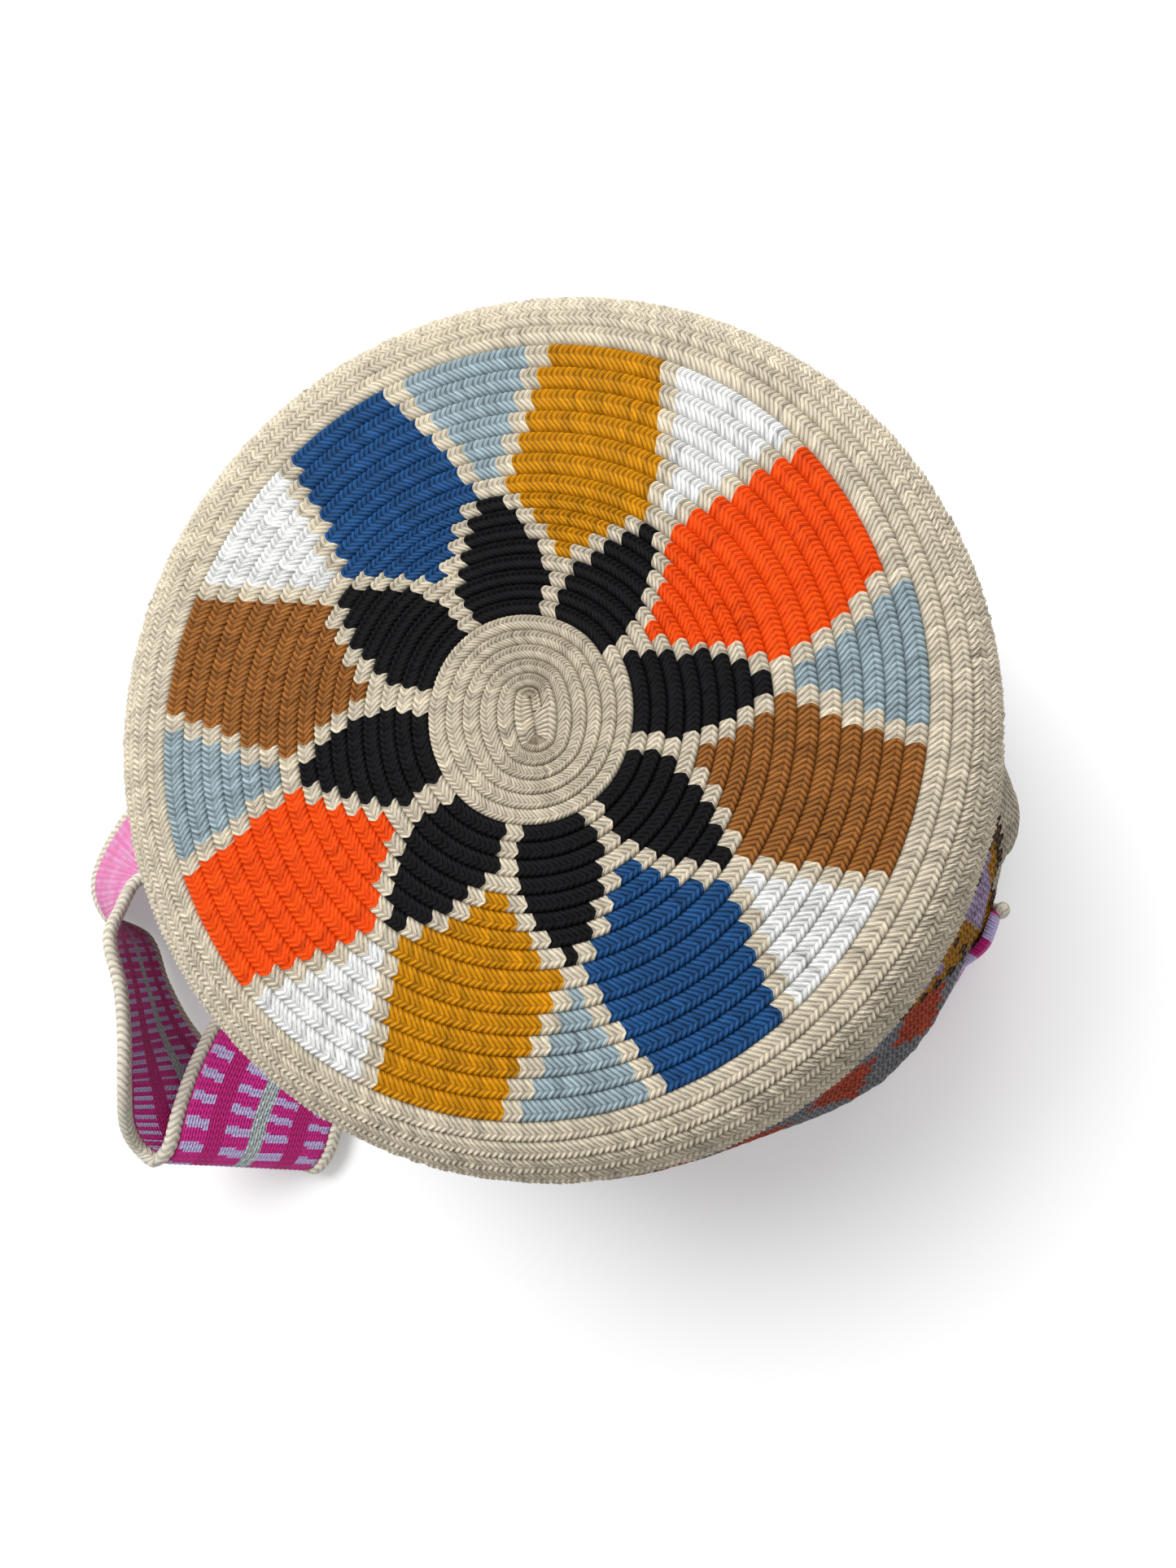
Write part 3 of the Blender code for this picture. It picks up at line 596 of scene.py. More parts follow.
def tube_faces(columns, around):
    """Quads of a tube of rings of points."""
    column, place = np.meshgrid(np.arange(columns - 1), np.arange(around), indexing="ij")
    first = (column * around + place).ravel()
    second = (column * around + (place + 1) % around).ravel()
    return np.stack((first, second, second + around, first + around), axis=1)


def paint(piece, face_colours, uv):
    """Stores each face's yarn colour and each point's place on the yarn."""
    mesh = piece.data
    loops = np.empty(len(mesh.loops), dtype=np.int32)
    mesh.loops.foreach_get("vertex_index", loops)
    sides = len(mesh.loops) // len(mesh.polygons)
    colours = np.ones((len(mesh.loops), 4), dtype=np.float32)
    colours[:, :3] = np.repeat(face_colours, sides, axis=0)
    layer = mesh.color_attributes.new("Yarn", "FLOAT_COLOR", "CORNER")
    layer.data.foreach_set("color", colours.ravel())
    places = mesh.uv_layers.new(name="Ply")
    places.data.foreach_set("uv", uv[loops].astype(np.float32).ravel())


def close_ends(piece, around, columns, recalculate):
    """Closes both ends of a tube of rings, and recalculates its normals if asked to."""
    bm = bmesh.new()
    bm.from_mesh(piece.data)
    bm.verts.ensure_lookup_table()
    start = [bm.verts[i] for i in range(around)]
    end = [bm.verts[(columns - 1) * around + i] for i in range(around)]
    bm.faces.new(start[::-1])
    bm.faces.new(end)
    layer = bm.loops.layers.float_color["Yarn"]
    bm.faces.ensure_lookup_table()
    colour = bm.faces[0].loops[0][layer]
    for face in list(bm.faces)[-2:]:
        for loop in face.loops:
            loop[layer] = colour
    if recalculate:
        bmesh.ops.recalc_face_normals(bm, faces=bm.faces)
    bm.to_mesh(piece.data)
    bm.free()


def work_rounds(first, last, columns_per_stroke):
    """Azimuth, turns made, strokes made, lift and yarn colour of each column of some rounds."""
    yarns = bpy.context.scene.bag_yarns
    sizes = bpy.context.scene.crochet_sizes
    dice = np.random.default_rng(first)
    azimuths, turns, phases, colours, lifts = [], [], [], [], []
    strokes = 0
    for number in range(first, last + 1):
        row = float(spiral_row(number - 0.5))
        radius = min(row * ROW_PITCH, EDGE_RADIUS)
        pitch = sizes.stroke_pitch if number > DISC_ROUNDS else sizes.first_pitch
        # The first rounds go round both sides of the chain, so they have more strokes
        chain = 8.0 * OVAL_STRETCH * math.exp(-row / 3.0)
        count = int(round((2 * math.pi * radius + chain) / pitch))
        columns = count * columns_per_stroke
        shares = np.arange(columns) / columns
        azimuths.append(SEAM + 360.0 * shares)
        turns.append(number - 1 + shares)
        phases.append(strokes + shares * count)
        strokes += count
        tone = dice.normal(1.0, TONE_SPREAD, count)
        lift = dice.normal(0.0, LIFT_SPREAD, count)
        middles = SEAM + 360.0 * (np.arange(count) + 0.5) / count
        # Eyelet stitches are sunk and painted near black: painted shade where a hole is
        if number == EYELET_ROUND:
            gaps = spread(middles[:, None], EYELETS[None, :]).min(axis=1) < EYELET_HALF
            tone[gaps] = EYELET_SHADE
            lift[gaps] = -EYELET_SINK
        chart = []
        for azimuth, bright in zip(middles, tone):
            if number >= WALL_START:
                yarn = wall_yarn(number, azimuth)
            else:
                yarn = base_yarn(number, azimuth, row)
            chart.append([channel * bright for channel in getattr(yarns, yarn)])
        colours.append(np.repeat(chart, columns_per_stroke, axis=0))
        lifts.append(np.repeat(lift, columns_per_stroke))
    return (np.append(np.concatenate(azimuths), SEAM + 360.0),
            np.append(np.concatenate(turns), last), np.append(np.concatenate(phases), strokes),
            np.append(np.concatenate(lifts), 0.0), np.concatenate(colours))


def crochet(name, first, last, columns_per_stroke, material):
    """Rounds of crochet as one strip along the spiral, stroke by stroke."""
    sizes = bpy.context.scene.crochet_sizes
    azimuth, turn, phase, lift, colours = work_rounds(first, last, columns_per_stroke)
    # The first stitches are worked into one loop, so they lean less
    ease = np.clip(turn / 1.5, 0.0, 1.0)[:, None]
    radius = np.clip(spiral_row(turn) * ROW_PITCH, 0.004, EDGE_RADIUS)[:, None]
    turned = np.degrees(EDGE_LEAN[None, :] / radius) * ease
    leaned = azimuth[:, None] + turned
    leaned_turn = turn[:, None] + turned / 360.0
    outer = spiral_row(leaned_turn)
    inner = np.where(leaned_turn > 1.0, spiral_row(leaned_turn - 1.0), 0.0)
    rows = np.minimum(drawn_row(leaned, inner + (outer - inner) * ROW_SHARES[None, :]), ROWS_END)
    points, normals = cloth(leaned.ravel(), rows.ravel())
    phase = phase[:, None] + (EDGE_LEAN - STROKE_LEAN)[None, :] * ease / sizes.stroke_pitch
    height = ROW_HEIGHTS[None, :] + lift[:, None] * STROKE_SHARES[None, :]
    if columns_per_stroke > PLAIN_COLUMNS:
        depth = sizes.stroke_depth * STROKE_SHARES[None, :]
        height = height + depth * np.cos(2 * np.pi * phase)
    points = points + normals * height.ravel()[:, None]
    across = len(ROW_SHARES)
    piece = mesh_object(name, points, strip_faces(len(azimuth), across), material)
    uv = np.stack((phase.ravel(), np.tile(ROW_SHARES, len(azimuth))), axis=1)
    paint(piece, np.clip(np.repeat(colours, across - 1, axis=0), 0.0, 1.0), uv)
    return piece


def add(tree, kind, links=None, **settings):
    """Adds a node, sets its fields and inputs, and links outputs into its inputs."""
    node = tree.nodes.new(kind)
    for key, value in settings.items():
        if key.startswith("in_"):
            node.inputs[int(key[3:])].default_value = value
        else:
            setattr(node, key, value)
    for key, socket in (links or {}).items():
        tree.links.new(socket, node.inputs[key])
    return node


def cotton_yarn(name, stroke_depth):
    """Mercerised cotton yarn, crocheted: faint gloss, twisted plies, fine fibres and painted shade
    in the gaps.

    stroke_depth is the height of the strokes where bump draws them and not the mesh.
    """
    material = bpy.data.materials.new(name)
    material.use_nodes = True
    tree = material.node_tree
    shader = tree.nodes["Principled BSDF"]
    shader.inputs["Roughness"].default_value = 0.60
    shader.inputs["Specular IOR Level"].default_value = 0.14
    yarn = add(tree, "ShaderNodeVertexColor", layer_name="Yarn")
    place = add(tree, "ShaderNodeUVMap", uv_map="Ply")
    apart = add(tree, "ShaderNodeSeparateXYZ", {0: place.outputs[0]})
    angle = add(tree, "ShaderNodeMath", {0: apart.outputs[0]}, operation="MULTIPLY",
                in_1=2 * math.pi)
    wave = add(tree, "ShaderNodeMath", {0: angle.outputs[0]}, operation="COSINE")
    # Painted shade: the colour is darkened between strokes, and more between rows
    between = add(tree, "ShaderNodeMapRange", {0: wave.outputs[0]}, in_1=-1.0, in_2=0.35,
                  in_3=0.26, in_4=1.0, interpolation_type="SMOOTHSTEP")
    rows = add(tree, "ShaderNodeValToRGB", {0: apart.outputs[1]})
    stops = ((0.0, 0.46), (0.08, 0.80), (0.18, 1.0), (0.50, 1.0), (0.61, 0.52), (0.70, 1.0),
             (0.92, 0.95), (1.0, 0.48))
    ramp = rows.color_ramp.elements
    for share, value in stops[1:-1]:
        ramp.new(share)
    for element, (share, value) in zip(ramp, stops):
        element.position = share
        element.color = (value, value, value, 1.0)
    # Fibres 0.2 mm wide along each stroke
    stretched = add(tree, "ShaderNodeMapping", {0: place.outputs[0]}, in_3=FIBRES)
    fibres = add(tree, "ShaderNodeTexNoise", {"Vector": stretched.outputs[0]})
    fibres.inputs["Scale"].default_value = 1.0
    fibres.inputs["Detail"].default_value = 3.0
    # Patches about 6 mm wide, where the yarn was pulled tighter or left looser
    spot = add(tree, "ShaderNodeTexCoord")
    cloudy = add(tree, "ShaderNodeTexNoise", {"Vector": spot.outputs["Object"]})
    cloudy.inputs["Scale"].default_value = PATCHES
    cloudy.inputs["Detail"].default_value = 4.0
    # Three plies, 0.5 mm apart, are twisted along each stroke, with painted shade between them
    twist = add(tree, "ShaderNodeMath", {0: apart.outputs[1]}, operation="MULTIPLY",
                in_1=PLY_TURNS * 2 * math.pi)
    turned = add(tree, "ShaderNodeMath", {0: angle.outputs[0], 2: twist.outputs[0]},
                 operation="MULTIPLY_ADD", in_1=PLIES)
    ply = add(tree, "ShaderNodeMath", {0: turned.outputs[0]}, operation="COSINE")
    plies = add(tree, "ShaderNodeMapRange", {0: ply.outputs[0]}, in_1=-1.0, in_2=0.4,
                in_3=0.74, in_4=1.04)
    streaks = add(tree, "ShaderNodeMapRange", {0: fibres.outputs[0]}, in_1=0.3, in_2=0.7,
                  in_3=0.68, in_4=1.34)
    patches = add(tree, "ShaderNodeMapRange", {0: cloudy.outputs[0]}, in_1=0.3, in_2=0.7,
                  in_3=0.95, in_4=1.05)
    tone = streaks.outputs[0]
    # The tone holds the yarn's fibre streaks and patches, and painted shade from plies, strokes and
    # rows
    for other in (plies, patches, between, rows):
        tone = add(tree, "ShaderNodeMath", {0: tone, 1: other.outputs[0]},
                   operation="MULTIPLY").outputs[0]
    # Pale and bright yarn gets less of this painted shade, as light passes into its gaps
    hue = add(tree, "ShaderNodeSeparateColor", {0: yarn.outputs[0]}, mode="HSV")
    lit = add(tree, "ShaderNodeMath", {0: hue.outputs[2]}, operation="MULTIPLY", in_1=0.55)
    tone = add(tree, "ShaderNodeMix", {0: lit.outputs[0], 2: tone}, in_3=1.0).outputs[0]
    scaled = add(tree, "ShaderNodeVectorMath", {0: yarn.outputs[0], "Scale": tone},
                 operation="SCALE")
    tree.links.new(scaled.outputs[0], shader.inputs["Base Color"])
    # Bump adds plies and fibres, or the strokes themselves where the mesh doesn't draw them
    height = add(tree, "ShaderNodeMath", {0: ply.outputs[0], 2: fibres.outputs[0]},
                 operation="MULTIPLY_ADD", in_1=0.35).outputs[0]
    if stroke_depth > 0.0:
        height = add(tree, "ShaderNodeMath", {0: wave.outputs[0], 2: fibres.outputs[0]},
                     operation="MULTIPLY_ADD", in_1=2.0).outputs[0]
    relief = add(tree, "ShaderNodeBump", {"Height": height})
    relief.inputs["Strength"].default_value = 1.0
    relief.inputs["Distance"].default_value = stroke_depth or 0.00014
    tree.links.new(relief.outputs[0], shader.inputs["Normal"])
    return material


def finish_piece(piece, slot, *nodes):
    """Rides the piece on the body and hides the solids that it stands for."""
    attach(piece, "root")
    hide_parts(*nodes)


class BAG_OT_crochet_base(bpy.types.Operator):
    """Crochet the round base with its chart of petals, kites and triangles"""
    bl_idname = "bag.crochet_base"
    bl_label = "Crochet base"

    def execute(self, context):
        yarn = cotton_yarn("crocheted cotton", 0.0)
        for name, first, last in (("base_middle", 1, 15), ("base_outer", 16, 21),
                                  ("base_edge", 22, 26)):
            piece = crochet(name, first, last, DRAWN_COLUMNS, yarn)
            finish_piece(piece, "crochet", "bag_body")
        return {"FINISHED"}


class BAG_OT_crochet_wall(bpy.types.Operator):
    """Crochet the slumped wall from the base's edge to the mouth"""
    bl_idname = "bag.crochet_wall"
    bl_label = "Crochet wall"

    def execute(self, context):
        yarn = cotton_yarn("crocheted cotton wall", 0.00035)
        for name, first, last in (("wall_upper", WALL_START, 41),
                                  ("wall_lower", 42, LAST_ROUND)):
            piece = crochet(name, first, last, PLAIN_COLUMNS, yarn)
            finish_piece(piece, "crochet", "bag_body")
        return {"FINISHED"}


class BAG_OT_line_bag(bpy.types.Operator):
    """Make the back of the crochet, which shows inside the bag, and the rim of the mouth"""
    bl_idname = "bag.line_bag"
    bl_label = "Back of the cloth"

    def execute(self, context):
        azimuth = np.arange(LINING_AROUND) * 360.0 / LINING_AROUND
        outer_rows = np.concatenate((np.linspace(0.6, 20.0, 12), np.arange(21.0, 55.6, 1.0),
                                     (ROWS_END,)))
        inner_rows = np.concatenate(((ROWS_END,), np.arange(55.0, 19.0, -0.5),
                                     np.linspace(18.5, 0.6, 36)))
        rings = [(row, -LINING_SINK) for row in outer_rows]
        rings.append((ROWS_END, -0.5 * FABRIC))
        rings += [(row, -FABRIC + LINING_RIPPLE * math.cos(2 * math.pi * row))
                  for row in inner_rows]
        points = []
        for row, offset in rings:
            place, normal = cloth(azimuth, np.full(LINING_AROUND, row))
            points.append(place + normal * offset)
        # From the base's middle over the mouth to the inside, so the faces turn the other way
        faces = tube_faces(len(rings), LINING_AROUND)[:, (0, 3, 2, 1)]
        yarns = context.scene.bag_yarns
        colours = []
        for (before, _), (after, _) in zip(rings, rings[1:]):
            number = int(round(0.5 * (before + after) + 1.5))
            for direction in azimuth:
                yarn = wall_yarn(number, direction) if number >= WALL_START else "cream"
                colours.append(tuple(getattr(yarns, yarn)))
        material = cotton_yarn("back of the crochet", 0.0003)
        lining = mesh_object("cloth_back", np.concatenate(points), faces, material)
        across = np.tile(np.arange(LINING_AROUND) * 4.0, len(rings))
        along = np.repeat(np.arange(len(rings)) % 2, LINING_AROUND)
        paint(lining, np.array(colours), np.stack((across, along), axis=1))
        close_ends(lining, LINING_AROUND, len(rings), False)
        finish_piece(lining, "crochet", "bag_body")
        return {"FINISHED"}


def even_cloth(azimuth, row, offset):
    """Point of the bag's even form, moved out of its surface, with the strap's dent in it."""
    az = np.array((azimuth,))
    low = profile_points(az, np.array((row - 0.25,)))[0]
    high = profile_points(az, np.array((min(row + 0.25, ROWS_END),)))[0]
    a = math.radians(azimuth)
    radial = np.array((math.cos(a), math.sin(a)))
    dr = float((high[:2] - low[:2]) @ radial)
    dz = float(high[2] - low[2])
    length = math.hypot(dr, dz)
    point = profile_points(az, np.array((row,)))[0]
    offset -= float(strap_dent(az, np.array((row,)))[0])
    point[:2] += radial * (-dz / length) * offset
    point[2] += dr / length * offset
    return Vector(point)


def station(azimuth, radius, height, side, curve, row=None):
    """Strap station beside the bag: middle, edge direction, curve, steps to the next, and row."""
    a = math.radians(azimuth)
    middle = Vector((radius * math.cos(a), radius * math.sin(a), height))
    edge = Vector((-math.sin(a), math.cos(a), 0.0)) * side
    return middle, edge, curve, END_STEPS, row


def end_stations(azimuth, side, rows):
    """Stations of a strap end that lies against the wall."""
    stations = []
    for row in rows:
        point = even_cloth(azimuth, row, 0.5 * BAND_THICKNESS + SEAT)
        stations.append(station(azimuth, math.hypot(point.x, point.y), point.z, side, END_CURVE,
                                row))
    return stations


def strap_frames(finer):
    """Middle, edge direction, normal, curve, wall seat and length along the strap."""
    stations = end_stations(LEFT_END_AZIMUTH, 1.0, END_ROWS)
    for radius, height in LEFT_BEND:
        stations.append(station(LEFT_END_AZIMUTH, radius, height, 1.0, 0.5 * END_CURVE))
    for first, second, steps in ROUTE:
        middle = 0.5 * (Vector(first) + Vector(second))
        stations.append((middle, (Vector(first) - Vector(second)).normalized(), 0.0, steps, None))
    for radius, height in RIGHT_BEND:
        stations.append(station(RIGHT_END_AZIMUTH, radius, height, -1.0, 0.5 * END_CURVE))
    stations += end_stations(RIGHT_END_AZIMUTH, -1.0, reversed(END_ROWS))
    knots = [0.0]
    for before, after in zip(stations, stations[1:]):
        knots.append(knots[-1] + (after[0] - before[0]).length)
    places = []
    for k, (before, after) in enumerate(zip(stations, stations[1:])):
        steps = before[3] * finer
        for i in range(steps):
            share = i / steps
            row = None
            if before[4] is not None and after[4] is not None:
                row = before[4] + (after[4] - before[4]) * share
            elif i == 0:
                row = before[4]
            places.append((knots[k] + (knots[k + 1] - knots[k]) * share, row))
    places.append((knots[-1], stations[-1][4]))
    table = np.array([(*middle, *edge, curve) for middle, edge, curve, _, _ in stations]).T
    read = smooth_curve(np.array(knots), lambda k: table[:, k], np.array([x for x, _ in places]))
    middles = [Vector(column[:3]) for column in read.T]
    frames = []
    for k, (x, row) in enumerate(places):
        along = (middles[min(k + 1, len(middles) - 1)] - middles[max(k - 1, 0)]).normalized()
        edge = Vector(read[3:6, k]).normalized()
        seat = None
        if row is not None:
            left = x < 0.5 * knots[-1]
            seat = (LEFT_END_AZIMUTH, row, 1.0) if left else (RIGHT_END_AZIMUTH, row, -1.0)
        frames.append((middles[k], edge, along.cross(edge).normalized(), read[6, k], seat, x))
    return frames


def across_strap(item, across):
    """Point of the strap's middle surface at a distance across it, in the bag's frame."""
    middle, edge, normal, curve, seat, _ = item
    if seat:
        azimuth, row, side = seat
        radius = math.hypot(*profile_points(np.array((azimuth,)), np.array((row,)))[0][:2])
        turn = side * math.degrees(across / radius)
        return even_cloth(azimuth + turn, row, 0.5 * BAND_THICKNESS + SEAT)
    share = across / (0.5 * BAND_WIDTH)
    return middle + edge * across - normal * (curve * share * share)


def strap_line(frames, across):
    """Points, directions along and normals of a line of the strap, as arrays."""
    points = [across_strap(item, across) for item in frames]
    last = len(points) - 1
    alongs = [(points[min(k + 1, last)] - points[max(k - 1, 0)]).normalized()
              for k in range(len(points))]
    normals = [along.cross(item[1]).normalized() for along, item in zip(alongs, frames)]
    return np.array(points), np.array(alongs), np.array(normals)


def resample(frames, values, lengths):
    """Values along the strap read at even lengths."""
    known = np.array([item[5] for item in frames])
    return np.stack([np.interp(lengths, known, values[:, i]) for i in range(values.shape[1])],
                    axis=1)


def band_yarn(yarns, across, along):
    """Yarn of the band at a place: four columns of dashes, plain stripes and a flecked middle, with
    a painted highlight on one stretch.
    """
    away = abs(across)
    made, dashes = zip(*DASHES)
    skew = np.interp(along, DASH_SKEW[:2], (0.0, DASH_SKEW[2]))
    phase = float(np.interp(along - skew * across, made, dashes))
    if away < MIDDLE_HALF:
        # Every third thread and third of a dash is pale
        fleck = (math.floor(across / PICK) + math.floor(phase * 3.0)) % 3 == 0
        colour = yarns.middle_light if fleck else yarns.middle
    elif any(low < away < high for low, high in DASH_COLUMNS):
        colour = yarns.dash if phase % 1.0 < DASH_SHARE else yarns.magenta
    else:
        colour = yarns.deep_magenta if away < DASH_COLUMNS[1][0] else yarns.magenta
    # Painted highlight: the colour turns paler along the stretch in full light
    middle, half_length, strength = PAINTED_HIGHLIGHT
    share = min(abs(along - middle) / half_length, 1.0)
    highlight_share = strength * math.cos(0.5 * math.pi * share ** 3) ** 2
    return [a + (b - a) * highlight_share for a, b in zip(colour, yarns.painted_highlight)]


def band_sides(frames, across, lengths, rib_height):
    """Points of the band's two sides, thread by thread, at each length along it."""
    surface, normals = [], []
    for x in across:
        points, _, normal = strap_line(frames, x)
        surface.append(resample(frames, points, lengths))
        normals.append(resample(frames, normal, lengths))
    surface = np.stack(surface, axis=1)
    normals = np.stack(normals, axis=1)
    normals /= np.linalg.norm(normals, axis=2, keepdims=True)
    # Each thread lies over one pick and under the next
    over = np.indices((len(lengths), len(across))).sum(axis=0) % 2
    rib = rib_height * (over - 0.5)[:, :, None]
    edge = np.minimum(1.0, (0.5 * BAND_WIDTH - np.abs(across)) / EDGE_ROUNDING)
    thin = np.sqrt(np.clip(edge, 0.15, 1.0))[None, :, None]
    half = (0.5 * BAND_THICKNESS - BAND_PLAY) * thin
    return surface + normals * (half + rib), surface - normals * (half + rib)


class BAG_OT_weave_band(bpy.types.Operator):
    """Weave the strap's band with its dashes"""
    bl_idname = "bag.weave_band"
    bl_label = "Weave band"

    def execute(self, context):
        yarns = context.scene.strap_yarns
        frames = strap_frames(STEPS_FINER)
        across = np.linspace(-0.5, 0.5, BAND_THREADS + 1) * BAND_WIDTH
        lengths = np.arange(0.0, frames[-1][5], PICK)
        rib_height = context.scene.crochet_sizes.rib
        upper, lower = band_sides(frames, across, lengths, rib_height)
        ring = np.concatenate((upper, lower[:, ::-1]), axis=1)
        columns, count = ring.shape[:2]
        faces = tube_faces(columns, count).tolist()
        uv = np.stack((np.tile(np.concatenate((across, across[::-1])), columns),
                       np.repeat(lengths, count)), axis=1) / WEAVE_PITCH
        middles = 0.5 * (across[:-1] + across[1:])
        cells = []
        for k in range(columns - 1):
            threads = [band_yarn(yarns, x, lengths[k]) for x in middles]
            cells += threads + threads[-1:] + threads[::-1] + threads[:1]
        # The cut ends show the same threads
        for k in (0, columns - 1):
            for i in range(BAND_THREADS):
                faces.append((k * count + i, k * count + i + 1, (k + 1) * count - 2 - i,
                              (k + 1) * count - 1 - i))
                cells.append(band_yarn(yarns, middles[i], lengths[k]))
        band = mesh_object("strap_weave", ring.reshape(-1, 3) + BAG_CENTRE, faces,
                           woven_cotton("woven cotton"))
        paint(band, np.array(cells), uv)
        bm = bmesh.new()
        bm.from_mesh(band.data)
        bmesh.ops.recalc_face_normals(bm, faces=bm.faces)
        bm.to_mesh(band.data)
        bm.free()
        finish_piece(band, "woven_band", "strap_band")
        return {"FINISHED"}


def woven_cotton(name):
    """Tightly woven cotton band: warp threads 1 mm apart that pass over and under each pick."""
    material = bpy.data.materials.new(name)
    material.use_nodes = True
    tree = material.node_tree
    shader = tree.nodes["Principled BSDF"]
    shader.inputs["Roughness"].default_value = 0.78
    shader.inputs["Specular IOR Level"].default_value = 0.25
    shader.inputs["Sheen Weight"].default_value = 0.15
    shader.inputs["Sheen Roughness"].default_value = 0.5
    yarn = add(tree, "ShaderNodeVertexColor", layer_name="Yarn")
    place = add(tree, "ShaderNodeUVMap", uv_map="Ply")
    apart = add(tree, "ShaderNodeSeparateXYZ", {0: place.outputs[0]})
    across = add(tree, "ShaderNodeMath", {0: apart.outputs[0]}, operation="MULTIPLY",
                 in_1=2 * math.pi)
    warp = add(tree, "ShaderNodeMath", {0: across.outputs[0]}, operation="COSINE")
    # Every second thread is half a pick along, which gives the fine zigzag
    parity = add(tree, "ShaderNodeMath", {0: apart.outputs[0]}, operation="PINGPONG", in_1=1.0)
    shifted = add(tree, "ShaderNodeMath", {0: apart.outputs[1], 1: parity.outputs[0]},
                  operation="ADD")
    along = add(tree, "ShaderNodeMath", {0: shifted.outputs[0]}, operation="MULTIPLY",
                in_1=math.pi)
    pick = add(tree, "ShaderNodeMath", {0: along.outputs[0]}, operation="COSINE")
    height = add(tree, "ShaderNodeMath", {0: warp.outputs[0], 1: pick.outputs[0]},
                 operation="ADD")
    shade = add(tree, "ShaderNodeMapRange", {0: height.outputs[0]}, in_1=-2.0, in_2=1.5,
                in_3=0.72, in_4=1.08)
    scaled = add(tree, "ShaderNodeVectorMath", {0: yarn.outputs[0]}, operation="SCALE")
    tree.links.new(shade.outputs[0], scaled.inputs["Scale"])
    tree.links.new(scaled.outputs[0], shader.inputs["Base Color"])
    relief = add(tree, "ShaderNodeBump", {"Height": height.outputs[0]})
    relief.inputs["Strength"].default_value = 0.8
    relief.inputs["Distance"].default_value = 0.00018
    tree.links.new(relief.outputs[0], shader.inputs["Normal"])
    return material


class BAG_OT_crochet_borders(bpy.types.Operator):
    """Crochet the thick border along each long edge of the strap"""
    bl_idname = "bag.crochet_borders"
    bl_label = "Crochet borders"

    def execute(self, context):
        yarn = cotton_yarn("crocheted border", 0.0)
        frames = strap_frames(STEPS_FINER)
        for name, side in (("border_a", 1.0), ("border_b", -1.0)):
            piece = crochet_border("crochet_" + name, frames, side, yarn,
                                   context.scene.strap_yarns.border)
            finish_piece(piece, "crocheted_edging", "strap_" + name)
        return {"FINISHED"}


def crochet_border(name, frames, side, material, colour):
    """Border of slanted strands round a core, beside one edge of the band."""
    thick = bpy.context.scene.crochet_sizes.strand_radius
    stitch = bpy.context.scene.crochet_sizes.strand_pitch
    points, alongs, normals = strap_line(frames, side * 0.5 * BAND_WIDTH)
    outward = np.array([tuple(item[1] * side) for item in frames])
    outward -= alongs * np.sum(outward * alongs, axis=1, keepdims=True)
    outward /= np.linalg.norm(outward, axis=1, keepdims=True)
    # Where the band lies on the wall, the border is thicker and so lies further out
    rise = np.array([0.5 * (BORDER_DIAMETER - BAND_THICKNESS) if item[4] else 0.0
                     for item in frames])
    core = points + outward * 0.85 * thick + normals * 0.6 * rise[:, None]
    lengths = np.concatenate(((0.0,), np.cumsum(np.linalg.norm(np.diff(core, axis=0), axis=1))))
    even = np.arange(0.0, lengths[-1], BORDER_STEP)

    def read(values):
        return np.stack([np.interp(even, lengths, values[:, i]) for i in range(3)], axis=1)

    core, outward, normals = read(core), read(outward), read(normals)
    turn = 2 * np.pi * np.arange(BORDER_AROUND) / BORDER_AROUND
    # Two strands lie side by side and meet in a chevron on top and below
    beside = np.abs(np.cos(turn))
    slant = BORDER_SLANT[0] * beside + BORDER_SLANT[1] * np.sin(turn)
    phase = (even[:, None] + slant[None, :]) / stitch
    phase = phase + np.where(np.cos(turn) > 0.0, 0.5, 0.0)[None, :]
    bulge = np.sqrt(np.abs(np.sin(np.pi * phase)))
    reach = thick * (0.86 + 0.22 * bulge) * (0.90 + 0.10 * beside)[None, :]
    # It runs out where its ends are sewn down
    to_end = np.minimum(even, even[-1] - even) / BORDER_TAPER
    taper = np.sqrt(np.clip(to_end * (2.0 - to_end), 0.02, 1.0))
    taper[to_end > 1.0] = 1.0
    reach = reach * taper[:, None]
    core = core - outward * (0.8 * thick * (1.0 - taper))[:, None]
    ring = (core[:, None, :] + outward[:, None, :] * (reach * np.cos(turn)[None, :])[..., None]
            + normals[:, None, :] * (reach * np.sin(turn)[None, :])[..., None])
    piece = mesh_object(name, ring.reshape(-1, 3) + BAG_CENTRE,
                        tube_faces(len(even), BORDER_AROUND), material)
    # The material reads a row at its full middle, so its painted shade falls only between the
    # stitches
    uv = np.stack(((phase + 0.5).ravel(), np.full(phase.size, 0.35)), axis=1)
    tones = np.random.default_rng(7).normal(1.0, 0.05, len(even) - 1)
    colours = np.array(colour)[None, :] * np.repeat(tones, BORDER_AROUND)[:, None]
    paint(piece, np.clip(colours, 0.0, 1.0), uv)
    close_ends(piece, BORDER_AROUND, len(even), True)
    return piece


